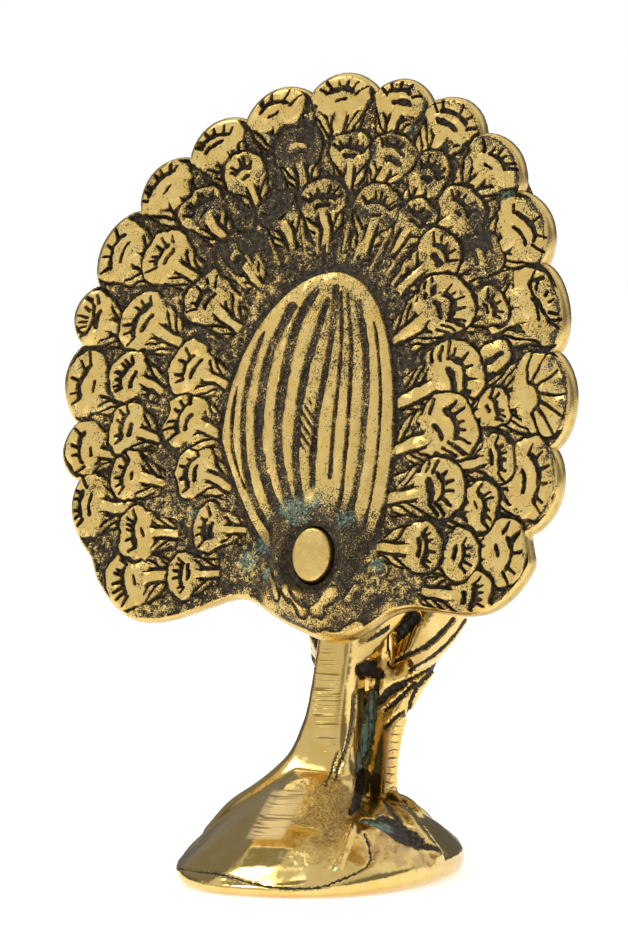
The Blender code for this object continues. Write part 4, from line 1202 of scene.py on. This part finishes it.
def dress_fan(fan):
    points = points_of(fan.data)
    u, v, h = fan_coordinates(points)
    share, reach = fan_share(u, v)
    _, worn = fan_relief(u, v)
    edge = (1.0 - share) * reach
    rim = falloff(0.42, 0.62, edge)
    on_front = h < -0.72 * FAN_THICK
    worn = np.where(on_front, 0.9 * worn - 0.05, worn)
    turn = np.degrees(np.arctan2(u - FAN_CENTRE[0], v - FAN_CENTRE[1]))
    right = smoothstep(2.0, 14.0, turn) * smoothstep(128.0, 120.0, turn)
    line = np.abs(edge - 0.95 + 0.25 * ripple(u, v, 3.0, 91))
    groove_level = -0.55 + 1.3 * smoothstep(0.05, 0.24, line) + 2.0 * (1.0 - right)
    worn = np.minimum(worn, np.where(on_front, 9.0, groove_level))
    worn = blend(worn, RIM_WORN, rim)
    film = rim * smoothstep(-0.35, -0.8, h) * (0.6 + 0.4 * soft_noise(u, v, 2.0, 92)) * ~on_front
    inside_hole = (np.hypot(u / (TENON_HALF_WIDTH + 0.35), v / (TENON_HALF_HEIGHT + 0.35)) < 1.0)
    worn = np.where(inside_hole, -0.9, worn)
    green = np.zeros(len(points))
    for px, py, radius, strength in GREEN_SPOTS_FAN:
        su, sv = on_fan(px, py)
        gap = np.hypot(u - su, v - sv) / radius
        green = np.maximum(green, strength * falloff(0.35, 1.0, gap))
    green *= ~on_front
    for name, values in (("worn", worn), ("green", green), ("rim", rim), ("film", film)):
        put_value(fan.data, name, values)


# Materials

class Nodes:
    """Small helper that adds and links the nodes of a material or a world."""

    def __init__(self, owner, space):
        owner.use_nodes = True
        self.owner = owner
        self.tree = owner.node_tree
        self.place = self.add("ShaderNodeTexCoord").outputs[space]

    def add(self, kind, **settings):
        node = self.tree.nodes.new(kind)
        for key, value in settings.items():
            setattr(node, key, value)
        return node

    def feed(self, socket, value):
        if isinstance(value, bpy.types.NodeSocket):
            self.tree.links.new(value, socket)
        else:
            socket.default_value = value

    def value(self, name):
        return self.add("ShaderNodeAttribute", attribute_name=name).outputs["Fac"]

    def noise(self, size_mm, detail=2.0, roughness=0.5, stretch=None):
        node = self.add("ShaderNodeTexNoise")
        place = self.place
        if stretch:
            mapping = self.add("ShaderNodeMapping")
            mapping.inputs["Scale"].default_value = stretch
            self.feed(mapping.inputs["Vector"], place)
            place = mapping.outputs["Vector"]
        self.feed(node.inputs["Vector"], place)
        node.inputs["Scale"].default_value = 1.0 / (size_mm * MM)
        node.inputs["Detail"].default_value = detail
        node.inputs["Roughness"].default_value = roughness
        return node.outputs["Fac"]

    def math(self, operation, a, b=0.0, clamp=False):
        node = self.add("ShaderNodeMath", operation=operation, use_clamp=clamp)
        self.feed(node.inputs[0], a)
        self.feed(node.inputs[1], b)
        return node.outputs[0]

    def plus(self, a, b, clamp=False):
        return self.math("ADD", a, b, clamp)

    def minus(self, a, b):
        return self.math("SUBTRACT", a, b)

    def times(self, a, b):
        return self.math("MULTIPLY", a, b)

    def larger(self, a, b):
        return self.math("MAXIMUM", a, b)

    def ramp(self, value, low, high, to_low=0.0, to_high=1.0):
        node = self.add("ShaderNodeMapRange", interpolation_type="SMOOTHSTEP")
        for socket, item in zip(node.inputs, (value, low, high, to_low, to_high)):
            self.feed(socket, item)
        return node.outputs[0]

    def mix(self, share, a, b):
        node = self.add("ShaderNodeMix", data_type="RGBA")
        self.feed(node.inputs["Factor"], share)
        for socket, item in ((node.inputs[6], a), (node.inputs[7], b)):
            self.feed(socket, item if isinstance(item, bpy.types.NodeSocket) else (*item, 1.0))
        return node.outputs[2]

    def patchy(self, size_mm, low, high, a, b):
        """Patches of two colours, divided where the noise is between low and high."""
        return self.mix(self.ramp(self.noise(size_mm, 3.0), low, high), a, b)

    def bump(self, height, strength, distance_mm, normal=None):
        node = self.add("ShaderNodeBump")
        self.feed(node.inputs["Height"], height)
        node.inputs["Strength"].default_value = strength
        node.inputs["Distance"].default_value = distance_mm * MM
        if normal is not None:
            self.feed(node.inputs["Normal"], normal)
        return node.outputs["Normal"]

    def finish(self, color, metallic, roughness, normal):
        shader = self.tree.nodes["Principled BSDF"]
        for name, item in (("Base Color", color), ("Metallic", metallic), ("Roughness", roughness),
                           ("Normal", normal), ("Specular IOR Level", SPECULAR_LEVEL)):
            self.feed(shader.inputs[name], item)
        return self.owner


SPECULAR_LEVEL = 0.2
GOLD = (0.765, 0.53, 0.158)
GOLD_PALE = (0.80, 0.585, 0.215)
GOLD_WARM = (0.70, 0.43, 0.12)
# Pale gold painted on the flat face below the post as a highlight
FACET_HIGHLIGHT_GOLD = (1.0, 0.80, 0.40)
PATINA_BLACK = (0.028, 0.022, 0.016)
PATINA_BROWN = (0.085, 0.061, 0.032)
VERDIGRIS = (0.20, 0.30, 0.235)
VERDIGRIS_DARK = (0.04, 0.06, 0.048)
FILM_BROWN = (0.30, 0.21, 0.085)
STAIN_BROWN = (0.33, 0.19, 0.055)
ROUGH_BROWN = (0.30, 0.17, 0.035)
PITTED_RED = (0.62, 0.36, 0.18)
MARK_BROWN = (0.24, 0.15, 0.04)
TENON_BROWN = (0.50, 0.31, 0.09)
# How much fine and coarse noise shift the edge between patina and buffed metal, and where it lies
FINE_SHIFT = 2.8
COARSE_SHIFT = 0.8
POLISH_FROM = -0.2
POLISH_TO = 0.14
SCALE_PITCH = 0.98 * MM


def patinated_brass():
    """Brass that is buffed where the value worn is high and keeps its patina where it is low."""
    n = Nodes(bpy.data.materials.new("buffed_and_patinated_brass"), "Object")
    worn, green, rim, film = n.value("worn"), n.value("green"), n.value("rim"), n.value("film")
    fine = n.noise(0.17, 2.0, 0.6)
    coarse = n.noise(0.9, 2.0)
    level = n.plus(worn, n.times(n.minus(fine, 0.5), FINE_SHIFT))
    level = n.plus(level, n.times(n.minus(coarse, 0.5), COARSE_SHIFT))
    polish = n.ramp(level, POLISH_FROM, POLISH_TO)
    brass = n.patchy(1.6, 0.35, 0.65, GOLD, GOLD_PALE)
    brass = n.mix(n.ramp(n.noise(0.35, 2.0), 0.62, 0.75, 0.0, 0.5), brass, GOLD_WARM)
    dirt = n.patchy(0.5, 0.42, 0.66, PATINA_BLACK, PATINA_BROWN)
    green_color = n.patchy(0.25, 0.38, 0.62, VERDIGRIS_DARK, VERDIGRIS)
    green_share = n.ramp(n.plus(green, n.minus(n.noise(0.5, 3.0), 0.5)), 0.3, 0.7)
    dirt = n.mix(green_share, dirt, green_color)
    color = n.mix(polish, dirt, brass)
    color = n.mix(n.times(film, n.ramp(coarse, 0.3, 0.7, 0.35, 0.8)), color, FILM_BROWN)
    metal = n.plus(n.times(polish, 0.88), 0.12)
    rough = n.ramp(polish, 0.0, 1.0, 0.55, 0.36)
    rough = n.minus(rough, n.times(rim, 0.16))
    normal = n.bump(polish, 0.35, 0.05, n.bump(fine, 0.5, 0.05))
    return n.finish(color, metal, rough, normal)


def polished_brass():
    """Bright cast brass, with the bird's dark, green, rough, pitted, filed and brown places, a painted
    highlight on the flat face below the post and painted shade along the seam under the fan.
    """
    n = Nodes(bpy.data.materials.new("polished_cast_brass"), "Object")
    dark, green, rough_spot = n.value("dark"), n.value("green"), n.value("rough")
    pitted, filed, brown, tenon = n.value("pitted"), n.value("filed"), n.value("brown"), n.value("tenon")
    fine = n.noise(0.22, 2.0, 0.6)
    mid = n.noise(1.1, 3.0)

    # Tints of the metal
    brass = n.patchy(3.0, 0.35, 0.65, GOLD, GOLD_PALE)
    brass = n.mix(n.times(brown, 0.75), brass, STAIN_BROWN)
    sparkle = n.noise(0.3, 3.0, 0.7)
    brass = n.mix(n.times(rough_spot, n.ramp(sparkle, 0.42, 0.58, 0.15, 0.95)), brass, ROUGH_BROWN)
    brass = n.mix(n.times(pitted, n.ramp(mid, 0.4, 0.62, 0.15, 0.85)), brass, PITTED_RED)

    # Dirt in the strokes, in small pits and in the scales of the leg, and painted shade along the seam under
    # the fan
    grime_and_shade = n.plus(dark, n.times(n.minus(fine, 0.5), 0.9))
    grime_and_shade = n.ramp(grime_and_shade, 0.4, 0.62)
    height = n.add("ShaderNodeSeparateXYZ")
    n.feed(height.inputs[0], n.place)
    level = n.plus(n.times(height.outputs["Z"], 2.0 * math.pi / SCALE_PITCH), n.times(mid, 5.0))
    dashes = n.times(n.ramp(n.math("SINE", level), 0.7, 0.95), n.value("scaly"))
    grime_and_shade = n.larger(grime_and_shade, n.times(dashes, 0.8))
    specks = n.ramp(n.noise(0.4, 2.0), 0.7, 0.76, 0.0, 0.75)
    specks = n.times(specks, n.ramp(mid, 0.47, 0.56))
    grime_and_shade = n.larger(grime_and_shade, n.times(specks, n.plus(n.times(pitted, 0.9), 0.12)))
    dirt = n.patchy(0.5, 0.42, 0.66, PATINA_BLACK, PATINA_BROWN)
    streaks = n.noise(0.5, 3.0, 0.6, stretch=(1.0, 1.0, 0.25))
    green_color = n.mix(n.ramp(streaks, 0.38, 0.62), VERDIGRIS_DARK, VERDIGRIS)
    green_share = n.ramp(n.plus(green, n.minus(n.noise(0.6, 3.0), 0.5)), 0.3, 0.85)

    # The filed flat face below the post, painted pale as a highlight, and file scratches
    facet_highlight = n.value("facet_highlight")
    brass = n.mix(n.times(facet_highlight, 0.85), brass, FACET_HIGHLIGHT_GOLD)
    scratches = n.noise(0.2, 1.0, 0.5, stretch=(0.03, 0.03, 1.0))
    marks = n.times(filed, n.ramp(scratches, 0.55, 0.64))
    brass = n.mix(n.times(marks, 0.75), brass, MARK_BROWN)
    brass = n.mix(n.times(tenon, n.ramp(mid, 0.4, 0.6, 0.05, 0.35)), brass, TENON_BROWN)
    color = n.mix(grime_and_shade, brass, dirt)
    color = n.mix(green_share, color, green_color)
    cover = n.larger(grime_and_shade, green_share)
    metal = n.minus(1.0, n.times(cover, 0.85))

    rough = n.plus(n.ramp(cover, 0.0, 1.0, 0.13, 0.55), n.times(rough_spot, 0.22))
    for spot, extra in ((pitted, 0.15), (filed, 0.12), (brown, 0.15), (facet_highlight, 0.25)):
        rough = n.plus(rough, n.times(spot, extra))
    rough = n.plus(rough, n.times(tenon, 0.2), clamp=True)

    waves = n.bump(n.noise(5.0, 3.0), 0.45, 0.6)
    waves = n.bump(n.times(n.minus(sparkle, 0.5), rough_spot), 1.0, 0.35, waves)
    normal = n.bump(marks, 0.5, 0.05, waves)
    coarser = n.plus(n.times(n.larger(pitted, tenon), 0.5), 0.06)
    grain = n.times(fine, n.plus(rough_spot, coarser))
    normal = n.bump(grain, 0.9, 0.14, normal)
    return n.finish(color, metal, rough, normal)


# Studio

FLOOR_HALF = 3.0
FLOOR_GREY = 0.9
FLOOR_GLOW = 0.55
KEY_PLACE = (-0.5, -0.35, 0.9)
KEY_AIM = (0.0, 0.0, 0.05)
KEY_SIZE = 0.3
KEY_POWER = 2.0
STUDIO_LEVEL = 0.74
# Bright and dark patches of the studio: direction, cosines at which a patch is full and gone, brightness
STUDIO_PATCHES = (
    ((-0.75, 0.45, 0.1), 0.85, 0.6, 0.14), ((0.0, 1.0, 0.05), 0.93, 0.8, 0.12),
    ((0.95, 0.1, 0.05), 0.9, 0.7, 0.22), ((0.5, 0.65, 0.6), 0.94, 0.86, 0.95),
    ((-0.62, 0.6, 0.5), 0.955, 0.9, 0.24), ((-0.27, 0.42, 0.87), 0.97, 0.945, 1.35),
    ((-0.28, 0.7, 0.66), 0.992, 0.975, 0.25), ((-0.36, 0.03, 0.93), 0.988, 0.962, 0.26),
    ((-0.36, -0.34, 0.87), 0.984, 0.95, 2.2), ((0.35, -0.9, 0.1), 0.985, 0.96, 0.35),
)


def make_floor():
    half = FLOOR_HALF
    mesh = bpy.data.meshes.new("floor")
    corners = [(-half, -half, 0), (half, -half, 0), (half, half, 0), (-half, half, 0)]
    mesh.from_pydata(corners, [], [(0, 1, 2, 3)])
    floor = add_object("floor", mesh)
    mat = bpy.data.materials.new("pale_floor")
    mat.use_nodes = True
    shader = mat.node_tree.nodes["Principled BSDF"]
    for name, item in (("Base Color", (FLOOR_GREY, FLOOR_GREY, FLOOR_GREY, 1.0)), ("Roughness", 0.6),
                       ("Emission Color", (1.0, 1.0, 1.0, 1.0)), ("Emission Strength", FLOOR_GLOW)):
        shader.inputs[name].default_value = item
    floor.data.materials.append(mat)


def make_world():
    """Soft white studio with dark and bright patches, so that the polished brass has something to mirror."""
    world = bpy.data.worlds.new("studio")
    bpy.context.scene.world = world
    n = Nodes(world, "Generated")
    color = (STUDIO_LEVEL, STUDIO_LEVEL, STUDIO_LEVEL)
    for direction, full, gone, level in STUDIO_PATCHES:
        dot = n.add("ShaderNodeVectorMath", operation="DOT_PRODUCT")
        n.feed(dot.inputs[0], n.place)
        dot.inputs[1].default_value = Vector(direction).normalized()
        color = n.mix(n.ramp(dot.outputs["Value"], gone, full), color, (level, level, level))
    path = n.add("ShaderNodeLightPath")
    seen = n.mix(path.outputs["Is Camera Ray"], color, (1.0, 1.0, 1.0))
    n.feed(n.tree.nodes["Background"].inputs["Color"], seen)


def make_key_light():
    data = bpy.data.lights.new("key", "AREA")
    data.shape = "RECTANGLE"
    data.size = data.size_y = KEY_SIZE
    data.energy = KEY_POWER
    light = add_object("key", data)
    light.location = KEY_PLACE
    light.rotation_mode = "QUATERNION"
    light.rotation_quaternion = (Vector(KEY_AIM) - Vector(KEY_PLACE)).to_track_quat("-Z", "Y")


def make_studio():
    make_floor()
    make_world()
    make_key_light()
    view = bpy.context.scene.view_settings
    view.view_transform = "Standard"
    view.look = "None"
    view.exposure = 0.0
    view.gamma = 1.0


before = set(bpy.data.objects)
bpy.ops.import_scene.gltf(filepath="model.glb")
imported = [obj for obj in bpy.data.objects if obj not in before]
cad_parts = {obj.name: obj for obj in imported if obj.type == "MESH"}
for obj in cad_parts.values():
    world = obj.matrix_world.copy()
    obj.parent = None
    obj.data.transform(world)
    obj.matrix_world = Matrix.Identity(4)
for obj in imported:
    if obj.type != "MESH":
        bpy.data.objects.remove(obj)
CAD_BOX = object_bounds()
make_camera()
LOW, HIGH = np.array(CAD_BOX[0]) / MM, np.array(CAD_BOX[1]) / MM
for maker, brass, node, slot in ((build_bird, polished_brass, "peacock_on_base", "polished_brass"),
                                 (build_fan, patinated_brass, "tail_fan", "patinated_brass")):
    piece = maker()
    put_points(piece.data, np.clip(points_of(piece.data), LOW, HIGH))
    piece.data.materials.clear()
    piece.data.materials.append(brass())
    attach(piece, "root")
    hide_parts(node)
    print(piece.name, len(piece.data.polygons), "faces")
make_studio()
